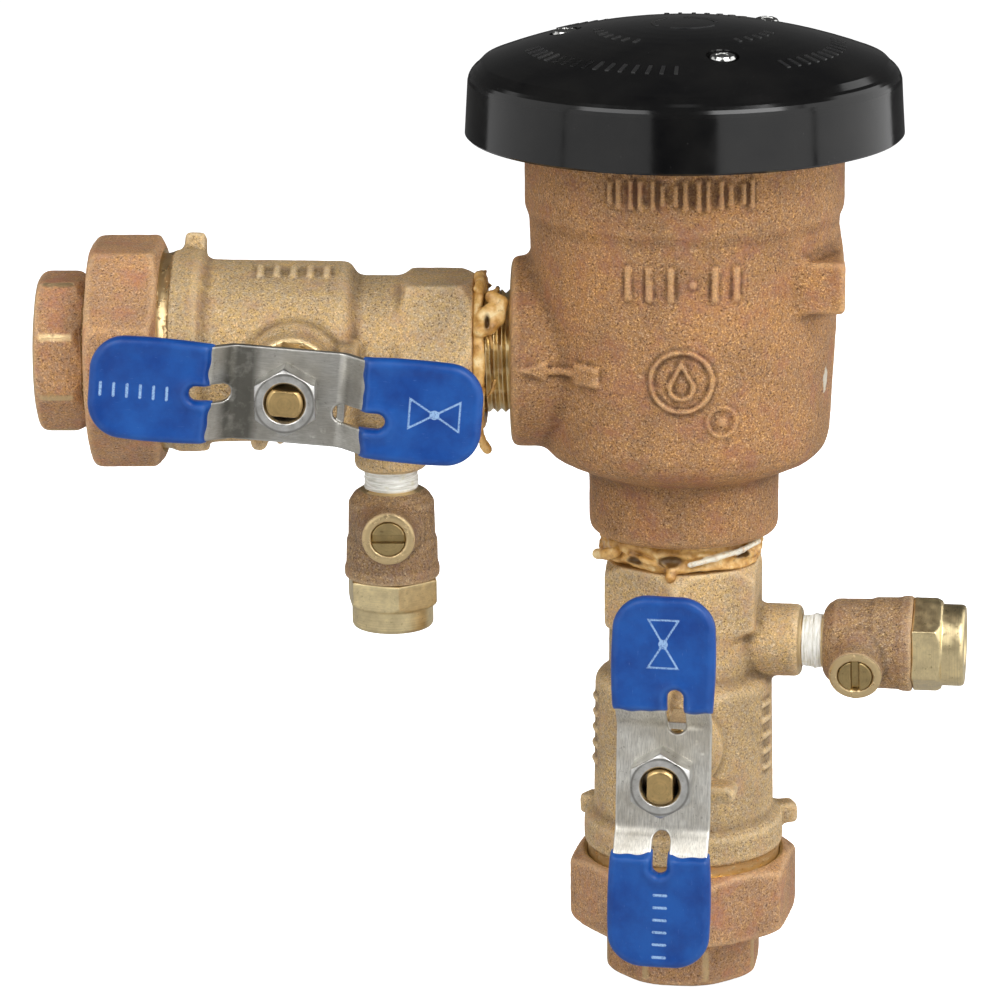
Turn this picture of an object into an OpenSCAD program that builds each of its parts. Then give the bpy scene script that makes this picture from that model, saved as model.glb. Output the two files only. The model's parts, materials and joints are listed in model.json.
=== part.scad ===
// Pressure vacuum breaker backflow preventer, nominal 1 inch.
// A bronze body with a check and an air inlet stands between two union ball
// valves; each valve carries a small test cock. Origin: centre of the inlet
// tailpiece's end face. +Z runs up the main body, +X to the right, -Y is the
// front, where the levers are. The outlet points along -X.

/* [Main body] */
// Radius of the neck that takes the inlet nipple
neck_r = 25.9; // [25:0.1:28]
// Height of the neck's lower end face
neck_z = 126.4; // [126:0.1:127]
// Radius of the barrel at its lower end
barrel_r0 = 39.6; // [39:0.1:40.5]
// Radius of the barrel at its upper end
barrel_r1 = 41.9; // [41.6:0.1:42.6]
// Radius of the collar under the canopy
collar_r = 43.1; // [43:0.1:44]
// Height of the outlet axis
outlet_z = 176.1; // [174:0.1:177]
// Radius of the outlet boss
boss_r = 25.9; // [25:0.1:27]
// Distance of the outlet boss face from the body axis
boss_x = 46.9; // [46.5:0.1:47.5]

/* [Canopy] */
// Radius of the canopy at its rim
canopy_r = 59.1; // [58:0.1:62]
// Height of the canopy rim
canopy_z = 236.4; // [235.5:0.1:238]
// Height of the canopy's crown
canopy_top = 266.4; // [265:0.1:268]
// Wall thickness of the canopy
canopy_wall = 2.8; // [2.2:0.1:3.2]
// Radius of the circle of canopy screws
screw_circle = 32.8; // [31:0.1:34]

/* [Connections] */
// Outside radius of the 1 inch nipples
nipple_r = 16.7; // [16.6:0.05:16.8]
// Thread pitch of the nipples
nipple_pitch = 2.209; // [2:0.01:2.3]
// Radius of the 1 inch female ports
port_r = 14.8; // [14.4:0.1:15]
// Depth of the 1 inch female ports
port_depth = 17; // [15:0.5:17]
// Radius of the test cock outlet ports
cock_port_r = 5.7; // [5:0.1:6]
// Depth of the test cock outlet ports
cock_port_depth = 10; // [9:0.5:11]

/* [Ball valves] */
// Turn of the inlet valve about the main axis, in degrees
inlet_yaw = -6; // [-10:1:0]
// Distance of the outlet valve's end face from the body axis
outlet_x = 175.4; // [175.2:0.1:176]
// Height of the stem axis above the valve's end face
stem_u = 71; // [70.5:0.1:71.5]
// Radius of the ball
ball_r = 16.6; // [16.3:0.1:16.7]
// Radius of the hole in the ball
ball_port_r = 11; // [9:0.1:11.5]
// Across flats of the hexagonal valve end
valve_hex_af = 41.4; // [41:0.1:42]
// Across flats of the octagonal tailpiece
tail_af = 41.2; // [40.8:0.1:42]
// Across flats of the octagonal union nut
nut_af = 59.5; // [59:0.1:61]

/* [Levers] */
// Length of a lever over its grips
lever_len = 104; // [98:0.5:106]
// Width of the lever plate
lever_w = 25.5; // [24:0.1:26.5]
// Thickness of the lever plate
lever_t = 2; // [1.8:0.1:2.2]
// Rise of the wings above the flat centre
lever_rise = 6; // [5:0.1:7]
// Thickness of the vinyl on the wings
grip_t = 1.3; // [1:0.1:1.6]
// Rest angle of the inlet lever from fully open, in degrees
inlet_tilt = 1; // [0:1:5]
// Rest angle of the outlet lever from fully open, in degrees
outlet_tilt = 5; // [0:1:5]

/* [Test cocks] */
// Height of the test cock axis above the valve's end face
cock_u = 95.2; // [94.8:0.1:95.8]
// Turn of the inlet test cock about its own axis, in degrees
cock_turn = 16; // [0:1:20]

/* [Hidden] */
$fn = 64;
e = 0.01;

bronze = [0.70, 0.52, 0.34];
brass = [0.80, 0.64, 0.32];
steel = [0.72, 0.72, 0.71];
zinc = [0.66, 0.67, 0.68];
vinyl = [0.12, 0.30, 0.68];
black = [0.05, 0.05, 0.06];
rubber = [0.10, 0.10, 0.10];
tape = [0.93, 0.93, 0.92];
ptfe = [0.92, 0.92, 0.88];
acetal = [0.85, 0.85, 0.82];
sealant = [0.80, 0.60, 0.28];

hex_r = valve_hex_af / 2 / cos(30);
hex_z0 = 101.5;          // start of the valve's hexagon
hex_z1 = 119;            // the valve's end face
plate_v = 49.6;          // underside of the lever's flat centre
cock_w = 33;             // face of the test cock boss
cock_stem_w = 48.5;      // test cock stem axis
seat_z = 154;            // check seat
guide_z = 200;           // shoulder that carries the check guide
body_top = 236;
air_gap = 6;             // travel of the air poppet
air_seat_z = 230;        // air inlet seat
poppet_top = air_seat_z - air_gap;

// ---------- helpers ----------
// Points on an arc.
function arc(cx, cy, r, a0, a1, n = 6) =
  [for (i = [0:n]) [cx + r * cos(a0 + (a1 - a0) * i / n), cy + r * sin(a0 + (a1 - a0) * i / n)]];

// A tube along Z.
module ring(ro, ri, z0, z1) {
  translate([0, 0, z0]) difference() {
    cylinder(r = ro, h = z1 - z0);
    translate([0, 0, -1]) cylinder(r = ri, h = z1 - z0 + 2);
  }
}

// A round cord bent to a ring about Z.
module oring(rm, rc, z) {
  translate([0, 0, z]) rotate_extrude() translate([rm, 0]) circle(r = rc, $fn = 24);
}

// A prism with n sides across flats af, a flat towards -Y.
module prism(n, af, z0, z1, turn = 0) {
  rotate([0, 0, turn + (n == 8 ? 22.5 : 0)]) translate([0, 0, z0])
    cylinder(r = af / 2 / cos(180 / n), h = z1 - z0, $fn = n);
}

// A solid of revolution whose ends are chamfered by c.
module chamfered(r, z0, z1, c0, c1) {
  rotate_extrude() polygon([[0, z0], [r - c0, z0], [r, z0 + c0 * 0.6], [r, z1 - c1 * 0.6], [r - c1, z1], [0, z1]]);
}

// Outline of a ridged thread: major radius r, from z0 to z1.
function ridges(r, d, p, z0, z1) = let (n = floor((z1 - z0) / p))
  concat([[r - d, z0]], [for (i = [0:n - 1], k = [0:3]) [k == 1 || k == 2 ? r : r - d, z0 + p * (i + [0.08, 0.42, 0.58, 0.92][k])]], [[r - d, z1]]);

// A coil about Z: mean radius rm, wire radius rw, from z0 to z1, with n turns.
function coil_pt(rm, rw, z0, z1, n, i, per, j, s) = let (
    a = 360 * i / per, last = n * per,
    z = z0 + rw + (z1 - z0 - 2 * rw) * i / last, q = 360 * j / s)
  [(rm + rw * cos(q)) * cos(a), (rm + rw * cos(q)) * sin(a), z + rw * sin(q)];
module coil(rm, rw, z0, z1, n, per = 16, s = 8) {
  last = n * per;
  pts = [for (i = [0:last], j = [0:s - 1]) coil_pt(rm, rw, z0, z1, n, i, per, j, s)];
  sides = [for (i = [0:last - 1], j = [0:s - 1]) [i * s + j, (i + 1) * s + j, (i + 1) * s + (j + 1) % s, i * s + (j + 1) % s]];
  polyhedron(points = pts, faces = concat([[for (j = [0:s - 1]) j]], sides, [[for (j = [s - 1:-1:0]) last * s + j]]), convexity = 8);
}

// ---------- main body ----------
module body_outer() {
  rotate_extrude() polygon(concat(
    [[0, neck_z]],
    arc(neck_r - 2.6, neck_z + 2.6, 2.6, -90, 0),
    [[neck_r, 143.2], [neck_r + 0.5, 144.6], [32, 146.7], [36.2, 148.7], [38.5, 151.2], [barrel_r0, 155],
     [barrel_r0 + 1.7, 185], [barrel_r1, 215], [collar_r, 217], [collar_r, body_top - 0.8], [collar_r - 0.8, body_top], [0, body_top]]));
}
module body_inner() {
  rotate_extrude() polygon([[0, neck_z - 1], [nipple_r, neck_z - 1], [nipple_r, 143], [13, 145], [13, seat_z], [15, seat_z],
    [15.6, 151], [29, 151], [34, 156], [34, guide_z], [36, guide_z], [36, 222], [38.2, 222], [38.2, body_top + 1], [0, body_top + 1]]);
}
module flow_arrow(lift) {
  intersection() {
    translate([0, -20, 177]) rotate([90, 0, 0]) linear_extrude(height = 30)
      polygon([[-44, 0], [-36.5, 2.6], [-36.8, 1], [-30.5, 1], [-29.5, 2.8], [-23, 2.8], [-24.5, 0], [-23, -2.8], [-29.5, -2.8], [-30.5, -1], [-36.8, -1], [-36.5, -2.6]]);
    union() {
      translate([0, 0, 150]) cylinder(r = 40.75 + lift, h = 50, $fn = 96);
      translate([-boss_x + 1.5, 0, outlet_z]) rotate([0, 90, 0]) cylinder(r = boss_r + lift, h = 30);
    }
  }
}
module body() {
  color(bronze) difference() {
    union() {
      body_outer();
      // outlet boss
      translate([-10, 0, outlet_z]) rotate([0, -90, 0]) chamfered(boss_r, 0, boss_x - 10, 0, 1.6);
      // flat pad opposite the outlet
      translate([20, -29.6, 192.8]) cube([22.7, 59.2, 14.2]);
      flow_arrow(0.7);
    }
    body_inner();
    // waterway and thread of the outlet
    translate([0, 0, outlet_z]) rotate([0, -90, 0]) cylinder(r = 13.5, h = boss_x);
    translate([-32, 0, outlet_z]) rotate([0, -90, 0]) cylinder(r = nipple_r, h = boss_x);
  }
}

// Close nipple along Z with its thread ridges showing between z2 and z3.
module nipple(z0, z1, z2, z3) {
  rotate_extrude() polygon(concat(
    [[13.3, z0], [nipple_r - 0.8, z0], [nipple_r, z0 + 1]], [[nipple_r, z2]],
    ridges(nipple_r, 1.1, nipple_pitch, z2, z3), [[nipple_r, z3]],
    [[nipple_r, z1 - 1], [nipple_r - 0.8, z1], [13.3, z1]]));
}
module inlet_nipple() { color(brass) nipple(104, 142, hex_z1, neck_z); }
module outlet_nipple() { color(brass) at_outlet() nipple(104, outlet_x - 33, hex_z1, outlet_x - boss_x); }

module inlet_thread_sealant() {
  color(sealant) rotate_extrude() polygon([[nipple_r, hex_z1], [20, hex_z1], [22.6, hex_z1 + 2.4], [24.2, neck_z - 1.6], [23.3, neck_z], [nipple_r, neck_z]]);
}
module outlet_thread_sealant() {
  color(sealant) at_outlet() rotate_extrude() polygon([[nipple_r, hex_z1], [20.6, hex_z1], [21.6, hex_z1 + 2], [20.6, hex_z1 + 3.6], [nipple_r, hex_z1 + 4]]);
}

// ---------- air inlet and canopy ----------
module bonnet() {
  color(bronze) difference() {
    union() {
      rotate_extrude() polygon([[34, 222.5], [37, 222.5], [38.2, 223.6], [38.2, body_top], [41.6, body_top], [42, body_top + 0.5], [42, 239.4], [41.4, 240], [19, 240], [19, 230], [22, 230], [22, 233], [34, 233]]);
      // hub on three arms, over the opening
      ring(8.6, 6.5, 233, 240);
      for (a = [90, 210, 330]) rotate([0, 0, a]) translate([8, -2.2, 234]) cube([13, 4.4, 6]);
      // posts for the canopy screws
      for (i = [0:2]) rotate([0, 0, -72.3 + 120 * i]) translate([screw_circle, 0, 239])
        cylinder(r = 4.6, h = screw_boss_z - 239 - 0.02);
    }
    // groove for the ring seal
    rotate_extrude() polygon([[36.4, 226.2], [39, 226.2], [39, 228.2], [36.4, 228.2]]);
    for (i = [0:2]) rotate([0, 0, -72.3 + 120 * i]) translate([screw_circle, 0, 244]) cylinder(r = 1.9, h = 30);
  }
}
module bonnet_oring() { color(rubber) oring(37.35, 0.85, 227.2); }

// Height of the dome's upper and lower surface at a radius.
dome_r = 54.5;
dome_z = 256.3;
function dome(r) = dome_z + (canopy_top - dome_z) * (1 - pow(r / dome_r, 2.1));
function canopy_under(r) = dome(r) - canopy_wall;
screw_floor = dome(screw_circle + 4.4) - 0.5; // the heads stand in shallow recesses
screw_boss_z = screw_floor - 3.2;
module canopy() {
  n = 14;
  color(black) difference() {
    union() {
    rotate_extrude($fn = 96) polygon(concat(
      [[canopy_r - canopy_wall, canopy_z + 0.4], [canopy_r - canopy_wall + 0.6, canopy_z], [canopy_r - 0.6, canopy_z], [canopy_r, canopy_z + 0.6],
       [canopy_r - 0.8, 250.5]],
      arc(canopy_r - 5.6, 250.6, 4.8, 8, 58, 4),
      [for (i = [0:n]) let (r = dome_r * (1 - i / n)) [r, dome(r)]],
      [for (i = [0:n]) let (r = (dome_r - 2.5) * i / n) [r, canopy_under(r)]],
      [[canopy_r - canopy_wall - 1, 250]]));
      for (i = [0:2]) rotate([0, 0, -72.3 + 120 * i]) translate([screw_circle, 0, screw_boss_z]) cylinder(r = 6.2, h = 3);
    }
    for (i = [0:2]) rotate([0, 0, -72.3 + 120 * i]) translate([screw_circle, 0, 0]) {
      translate([0, 0, 250]) cylinder(r = 2.2, h = 30);
      translate([0, 0, screw_floor]) cylinder(r = 4.4, h = 10);
    }
  }
}
module canopy_screws() {
  color(steel) for (i = [0:2]) rotate([0, 0, -72.3 + 120 * i]) translate([screw_circle, 0, 0]) {
    top = screw_floor + 0.02;
    translate([0, 0, 246]) cylinder(r = 1.9, h = top - 246 + 0.5);
    difference() {
      translate([0, 0, top]) rotate_extrude() polygon([[0, 0], [3.6, 0], [3.6, 0.9], [3.1, 1.7], [2, 2.15], [0, 2.3]]);
      for (a = [15, 105]) rotate([0, 0, a]) translate([-2, -0.4, top + 1]) cube([4, 0.8, 3]);
    }
  }
}

module air_poppet() {
  color(acetal) difference() {
    union() {
      rotate_extrude() polygon([[0, poppet_top - 8], [19, poppet_top - 8], [20.5, poppet_top - 6.5], [20.5, poppet_top - 2.5], [0, poppet_top - 2.5]]);
      translate([0, 0, poppet_top - 4]) cylinder(r = 3, h = 24);
      translate([0, 0, poppet_top - 3]) cylinder(r = 8.6, h = 3.4);
    }
    translate([0, 0, poppet_top - 9]) cylinder(r = 15, h = 3.5);
  }
}
module air_poppet_seal() { color(rubber) ring(22, 8.6, poppet_top - 2.5, poppet_top); }
module load_spring() { color(steel) coil(5.2, 0.45, poppet_top + 0.4, 237, 6); }
module load_nut() {
  color(brass) difference() {
    union() { translate([0, 0, 237]) cylinder(r = 6.5, h = 3.5); prism(6, 15, 240, 243.6); }
    translate([0, 0, 236]) cylinder(r = 3.06, h = 12);
  }
}

// ---------- check ----------
module check_poppet() {
  color(acetal) difference() {
    union() {
      rotate_extrude() polygon([[0, seat_z + 2.5], [16.5, seat_z + 2.5], [17.5, seat_z + 3.5], [17.5, seat_z + 5], [15, seat_z + 6], [0, seat_z + 6]]);
      translate([0, 0, seat_z + 5]) cylinder(r = 3, h = 49);
    }
    translate([0, 0, seat_z + 2]) cylinder(r = 1.5, h = 8);
  }
}
module check_disc() { color(rubber) ring(17, 1.5, seat_z + 0.05, seat_z + 2.5); }
module disc_retainer() {
  color(steel) union() {
    translate([0, 0, seat_z - 1.4]) cylinder(r = 9, h = 1.45);
    translate([0, 0, seat_z - 3.4]) cylinder(r = 3, h = 2.1);
    translate([0, 0, seat_z - 2]) cylinder(r = 1.5, h = 11);
  }
}
module check_spring() { color(steel) coil(9.5, 0.8, seat_z + 6, guide_z - 2, 7); }
module check_guide() {
  color(acetal) difference() {
    union() {
      ring(36, 31, guide_z, guide_z + 4);
      ring(11.5, 3.06, guide_z - 2, guide_z + 5);
      for (a = [30, 150, 270]) rotate([0, 0, a]) {
        translate([10, -2.5, guide_z]) cube([22.5, 5, 4]);
        // post that the air poppet rests on
        translate([17, 0, guide_z]) cylinder(r = 1.9, h = poppet_top - 8.1 - guide_z);
      }
    }
  }
}

// ---------- ball valve, along +Z, stem towards -Y, test cock towards +X ----------
module at_inlet() { rotate([0, 0, inlet_yaw]) children(); }
module at_outlet() { translate([-outlet_x, 0, outlet_z]) rotate([0, 90, 0]) children(); }
// The stem's frame: +Z outwards along the stem, +Y towards the hexagonal end, turned by a.
module at_stem(a = 0) { translate([0, 0, stem_u]) rotate([90, 0, 0]) rotate([0, 0, -a]) children(); }

module tailpiece() {
  color(bronze) difference() {
    union() {
      intersection() {
        prism(8, tail_af, 0, 12.2);
        rotate_extrude() polygon([[0, 0], [19.9, 0], [21.2, 0.5], [22, 1.6], [22.5, 3.2], [22.5, 9.4], [21.9, 11], [20.9, 12.2], [0, 12.2]]);
      }
      cylinder(r = 20.4, h = 20.4);
      rotate_extrude() polygon([[0, 20], [25.6, 20], [25.6, 24.6], [0, 24.6]]);
    }
    translate([0, 0, -1]) cylinder(r = port_r, h = port_depth + 1);
    translate([0, 0, -1]) cylinder(r = 12.7, h = 30);
    translate([0, 0, -e]) cylinder(r1 = port_r + 0.4, r2 = port_r, h = 0.4 + e);
  }
}
module union_nut(turn = 0) {
  color(bronze) difference() {
    intersection() {
      prism(8, nut_af, 14.6, 34.3, turn);
      rotate_extrude($fn = 96) polygon(concat([[0, 14.6], [25.4, 14.6]], arc(29.2, 17.4, 2.8, -90, -15, 4), [[32.3, 19], [32.3, 32.2], [28.3, 34.3], [0, 34.3]]));
    }
    translate([0, 0, 10]) cylinder(r = 20.7, h = 30);
    translate([0, 0, 19.8]) cylinder(r = 26.63, h = 20);
    translate([0, 0, 33.3]) cylinder(r1 = 26.63, r2 = 27.7, h = 1.2);
  }
}
module union_oring() { color(rubber) oring(21.6, 1, 25.66); }
// Chamber wall, neck and hexagonal end.
module valve_outer() {
  rotate_extrude() polygon([[0, 24.6], [25.8, 24.6], [26.6, 25.4], [26.6, 37], [27.1, 37], [27.6, 37.6], [27.5, 44.2], [26.6, 45.2], [24.9, 46], [24.4, 83.4],
    [23.6, 85], [21.8, 86], [20.6, 86.6], [20.6, 98.4], [21, 102], [0, 102]]);
  intersection() {
    prism(6, valve_hex_af, hex_z0 - 2.5, hex_z1, 30);
    rotate_extrude() polygon([[0, hex_z0 - 2.5], [20.2, hex_z0 - 2.5], [24, hex_z0 - 0.6], [24, hex_z1 - 4.2], [20.8, hex_z1], [0, hex_z1]]);
  }
}
module valve_body() {
  color(bronze) difference() {
    union() {
      valve_outer();
      // test cock boss
      translate([0, 0, cock_u]) rotate([0, 90, 0]) chamfered(10, 0, cock_w, 0, 1.6);
      // stem boss and its stops
      at_stem() {
        rotate_extrude() polygon([[0, 10], [13.2, 10], [13.2, 25.5], [11.6, 28], [11.2, 33.4], [10.6, 34], [0, 34]]);
        difference() {
          hull() { translate([15.9, -8.6, 31]) cylinder(r = 2.4, h = 9); translate([5, -11, 31]) cube([1, 4.8, 9]); }
          translate([0, 0, 33.9]) cylinder(r = 12.4, h = 10);
        }
        translate([-7.6, 12.6, 16]) cube([7, 4.6, 24]);
      }
      // two lugs on the shoulder ring
      for (a = [23, 154]) rotate([0, 0, a]) translate([22, -3.4, 39]) cube([10.6, 6.8, 5.8]);
    }
    // waterway, ball chamber, seat pocket and threads
    translate([0, 0, 20]) cylinder(r = 12.7, h = 110);
    translate([0, 0, 20]) cylinder(r = 19.4, h = 61);
    translate([0, 0, 80]) cylinder(r = 17.6, h = 6.5);
    translate([0, 0, 103]) cylinder(r = nipple_r, h = 20);
    // groove for the union's ring seal
    rotate_extrude() polygon([[20.4, 24.5], [22.8, 24.5], [22.8, 26.7], [20.4, 26.7]]);
    // stem
    at_stem() {
      cylinder(r = 6.4, h = 50);
      translate([0, 0, 0]) cylinder(r = 8.2, h = 20.4);
      translate([0, 0, 28]) cylinder(r = 8.6, h = 20);
    }
    // test cock
    translate([0, 0, cock_u]) rotate([0, 90, 0]) { cylinder(r = 3, h = 50); translate([0, 0, 22]) cylinder(r = 6.85, h = 30); }
  }
}
module seat_retainer() {
  color(brass) difference() {
    ring(19.4, 12.2, 46, 54.3);
    for (a = [0, 90]) rotate([0, 0, a]) translate([-25, -1.6, 45]) cube([50, 3.2, 3.4]);
  }
}
module ball_seats() {
  color(ptfe) difference() {
    union() { ring(19.4, 12.2, 54.3, 60); ring(17.6, 12.7, 81, 86.5); }
    translate([0, 0, stem_u]) sphere(r = ball_r + 0.12, $fn = 96);
  }
}
module ball(a) {
  color(steel) translate([0, 0, stem_u]) rotate([0, a, 0]) difference() {
    sphere(r = ball_r, $fn = 96);
    translate([0, 0, -30]) cylinder(r = ball_port_r, h = 60);
    // slot for the stem's tang
    translate([-3, -30, -30]) cube([6, 30 - 13, 60]);
  }
}
module stem(a) {
  color(brass) at_stem(a) difference() {
    union() {
      translate([0, 0, 16.8]) cylinder(r = 8, h = 2.4);
      translate([0, 0, 16.8]) cylinder(r = 6.35, h = plate_v - 16.8);
      intersection() { translate([0, 0, 13.1]) cylinder(r = 7.8, h = 4); translate([-3, -10, 13.1]) cube([6, 20, 4]); }
      intersection() {
        translate([0, 0, plate_v - 1]) cylinder(r1 = 4.9, r2 = 4.9, h = 12.2);
        translate([-3.5, -6, plate_v - 1]) cube([7, 12, 14]);
        rotate_extrude() polygon([[0, 40], [4.9, 40], [4.9, 60], [4.2, 60.8], [0, 60.8]]);
      }
    }
  }
}
module stem_packing() { color(ptfe) at_stem() ring(8.6, 6.42, 28, 31.2); }
module packing_nut() {
  color(brass) at_stem() difference() {
    union() { translate([0, 0, 31.2]) cylinder(r = 8.6, h = 3); prism(6, 19, 34, 40.5, 10); }
    cylinder(r = 6.42, h = 60);
  }
}
// Middle line of the lever plate, as distance along and height.
lever_corners = [[-lever_len / 2 + grip_t, plate_v + lever_t / 2 + lever_rise], [-21.2, plate_v + lever_t / 2 + lever_rise], [-14.6, plate_v + lever_t / 2],
  [14.6, plate_v + lever_t / 2], [21.2, plate_v + lever_t / 2 + lever_rise], [lever_len / 2 - grip_t, plate_v + lever_t / 2 + lever_rise]];
bend_r = 4;              // of the middle line at each bend
function unit(v) = v / norm(v);
// The bend that replaces corner b between a and c.
function bend(a, b, c, r, n = 4) = let (
    u = unit(a - b), v = unit(c - b), h = acos(u * v) / 2, m = b + unit(u + v) * r / sin(h),
    p = b + u * r / tan(h) - m, q = b + v * r / tan(h) - m)
  [for (k = [0:n]) m + r * unit(p * (1 - k / n) + q * k / n)];
lever_path = concat([lever_corners[0]], [for (i = [1:4], w = bend(lever_corners[i - 1], lever_corners[i], lever_corners[i + 1], bend_r)) w], [lever_corners[5]]);
function mitre(p, i, d) = let (
    a = i > 0 ? unit(p[i] - p[i - 1]) : unit(p[1] - p[0]),
    b = i < len(p) - 1 ? unit(p[i + 1] - p[i]) : a,
    m = unit(a + b))
  p[i] + d * [-m[1], m[0]] / (a * m);
function band(p, t) = concat([for (i = [0:len(p) - 1]) mitre(p, i, -t / 2)], [for (i = [len(p) - 1:-1:0]) mitre(p, i, t / 2)]);
// A rectangle in the plan of the lever with rounded corners at its far ends.
module wing_plan(len2, w, r) {
  square([w, 2 * len2 - 2 * r], center = true);
  square([w - 2 * r, 2 * len2], center = true);
  for (x = [-1, 1], y = [-1, 1]) translate([x * (w / 2 - r), y * (len2 - r)]) circle(r = r);
}
// The plate's profile runs along Y of the stem frame and is pushed through along X.
module lever_band(t, w) {
  translate([w / 2, 0, 0]) rotate([90, 0, -90]) mirror([1, 0, 0]) linear_extrude(height = w) polygon(band(lever_path, t));
}
module slots(extra) {
  translate([3.4, 0, 0]) slot(14.6, 26.8, 5.2 + extra);
  slot(-25.8, -14.6, 4.9 + extra);
}
module slot(y0, y1, w) {
  translate([-w / 2, y0 + (y0 < 0 ? w / 2 : 0), 40]) cube([w, y1 - y0 - w / 2, 30]);
  translate([0, y0 < 0 ? y0 + w / 2 : y1 - w / 2, 40]) cylinder(r = w / 2, h = 30);
}
module lever(a) {
  color(steel) at_stem(a) {
    difference() {
      intersection() {
        lever_band(lever_t, lever_w);
        translate([0, 0, 40]) linear_extrude(height = 30) wing_plan(lever_len / 2 - grip_t, lever_w, 6.5);
      }
      // hole with two flats on the stem
      intersection() { translate([0, 0, 40]) cylinder(r = 4.95, h = 20); translate([-3.55, -6, 40]) cube([7.1, 12, 20]); }
      slots(0);
    }
    // stop tongue bent down out of the slot
    translate([3.4 - 2.4, 13.4, 38.6]) cube([4.8, lever_t, plate_v + lever_t - 38.6 - 0.2]);
  }
}
module lever_grips(a) {
  color(vinyl) at_stem(a) difference() {
    intersection() {
      lever_band(lever_t + 2 * grip_t, lever_w + 2 * grip_t);
      translate([0, 0, 40]) linear_extrude(height = 30) wing_plan(lever_len / 2, lever_w + 2 * grip_t, 7.5);
    }
    translate([-30, -19.6, 30]) cube([60, 39.2, 40]);
    intersection() {
      lever_band(lever_t, lever_w);
      translate([0, 0, 40]) linear_extrude(height = 30) wing_plan(lever_len / 2 - grip_t, lever_w, 6.5);
    }
    slots(0);
  }
}
module lever_nut(turn) {
  color(zinc) at_stem() difference() {
    intersection() {
      prism(6, 16, plate_v + lever_t, 60, turn);
      rotate_extrude() polygon([[0, plate_v], [8.4, plate_v], [9.3, plate_v + 2.8], [9.3, 59], [8, 60], [0, 60]]);
    }
    cylinder(r = 4.92, h = 80);
    translate([0, 0, 58.9]) cylinder(r1 = 4.92, r2 = 5.7, h = 1.2);
  }
}

// ---------- test cock, along +Z from the boss face, stem towards -Y ----------
module at_cock(turn) { translate([0, 0, cock_u]) rotate([0, 90, 0]) rotate([0, 0, turn]) children(); }
cz = cock_stem_w;
module cock_body() {
  color(bronze) difference() {
    union() {
      rotate_extrude() polygon([[0, 24], [6.2, 24], [6.82, 25], [6.82, 38.8], [8.6, 38.8], [10.4, 40], [11.8, 42.2], [12, 52.3], [12.5, 52.8], [12.65, 60], [13.1, 60.5], [13.1, 63.3], [0, 63.3]]);
      translate([0, 0, cz]) rotate([90, 0, 0]) rotate_extrude() polygon([[0, 0], [9.4, 0], [9.4, 8.8], [7.9, 11.4], [7.3, 13.4], [7.3, 17.4], [7, 17.8], [0, 17.8]]);
    }
    translate([0, 0, 20]) cylinder(r = 3, h = 30);
    translate([0, 0, 42.2]) cylinder(r = 7.4, h = 30);
    translate([0, 0, cz]) rotate([90, 0, 0]) { cylinder(r = 4.7, h = 20); translate([0, 0, 12]) cylinder(r = 5.5, h = 1.8); }
  }
}
module cock_tape() { color(tape) ring(7.35, 6.85, cock_w, 38.8); }
module cock_ball() {
  color(steel) translate([0, 0, cz]) difference() {
    sphere(r = 6.2, $fn = 64);
    rotate([0, 90, 0]) translate([0, 0, -10]) cylinder(r = 2.8, h = 20);
    translate([-10, -10, -1]) cube([20, 10 - 4.4, 2]);
  }
}
module cock_seats() {
  color(ptfe) difference() {
    union() { ring(7.4, 3, 42.2, 45.6); ring(7.4, 3, 51.4, 54.8); }
    translate([0, 0, cz]) sphere(r = 6.3, $fn = 64);
  }
}
module cock_stem() {
  color(brass) translate([0, 0, cz]) rotate([90, 0, 0]) difference() {
    union() {
      translate([0, 0, 7.5]) cylinder(r = 4.65, h = 10.4);
      intersection() { translate([0, 0, 4.5]) cylinder(r = 2.8, h = 3.5); translate([-5, -1, 4.5]) cube([10, 2, 3.5]); }
    }
    translate([-6, -1.05, 16.1]) cube([12, 2.1, 3]);
  }
}
module cock_oring() { color(rubber) translate([0, 0, cz]) rotate([90, 0, 0]) ring(5.5, 4.72, 12, 13.8); }
module cock_end(turn) {
  color(brass) difference() {
    union() {
      translate([0, 0, 54.8]) cylinder(r = 7.4, h = 9);
      intersection() {
        prism(6, 23.2, 63.3, 71.3, turn);
        rotate_extrude() polygon([[0, 63.3], [13.4, 63.3], [13.4, 69.8], [12, 71.3], [0, 71.3]]);
      }
      rotate_extrude() polygon([[0, 71], [11.2, 71], [11.2, 76.6], [10.7, 77.5], [0, 77.5]]);
    }
    translate([0, 0, 50]) cylinder(r = 3, h = 40);
    translate([0, 0, 77.5 - cock_port_depth]) cylinder(r = cock_port_r, h = cock_port_depth + 1);
    translate([0, 0, 77.5 - 0.8]) cylinder(r1 = cock_port_r, r2 = cock_port_r + 0.81, h = 0.81);
  }
}

// ---------- the two valves and the two test cocks ----------
module inlet_tailpiece() { at_inlet() tailpiece(); }
module inlet_union_nut() { at_inlet() union_nut(-5); }
module inlet_union_oring() { at_inlet() union_oring(); }
module inlet_valve_body() { at_inlet() valve_body(); }
module inlet_seat_retainer() { at_inlet() seat_retainer(); }
module inlet_ball_seats() { at_inlet() ball_seats(); }
module inlet_ball() { at_inlet() ball(inlet_tilt); }
module inlet_stem() { at_inlet() stem(inlet_tilt); }
module inlet_stem_packing() { at_inlet() stem_packing(); }
module inlet_packing_nut() { at_inlet() packing_nut(); }
module inlet_lever() { at_inlet() lever(inlet_tilt); }
module inlet_lever_grips() { at_inlet() lever_grips(inlet_tilt); }
module inlet_lever_nut() { at_inlet() lever_nut(30); }
module outlet_tailpiece() { at_outlet() tailpiece(); }
module outlet_union_nut() { at_outlet() union_nut(0); }
module outlet_union_oring() { at_outlet() union_oring(); }
module outlet_valve_body() { at_outlet() valve_body(); }
module outlet_seat_retainer() { at_outlet() seat_retainer(); }
module outlet_ball_seats() { at_outlet() ball_seats(); }
module outlet_ball() { at_outlet() ball(outlet_tilt); }
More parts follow.
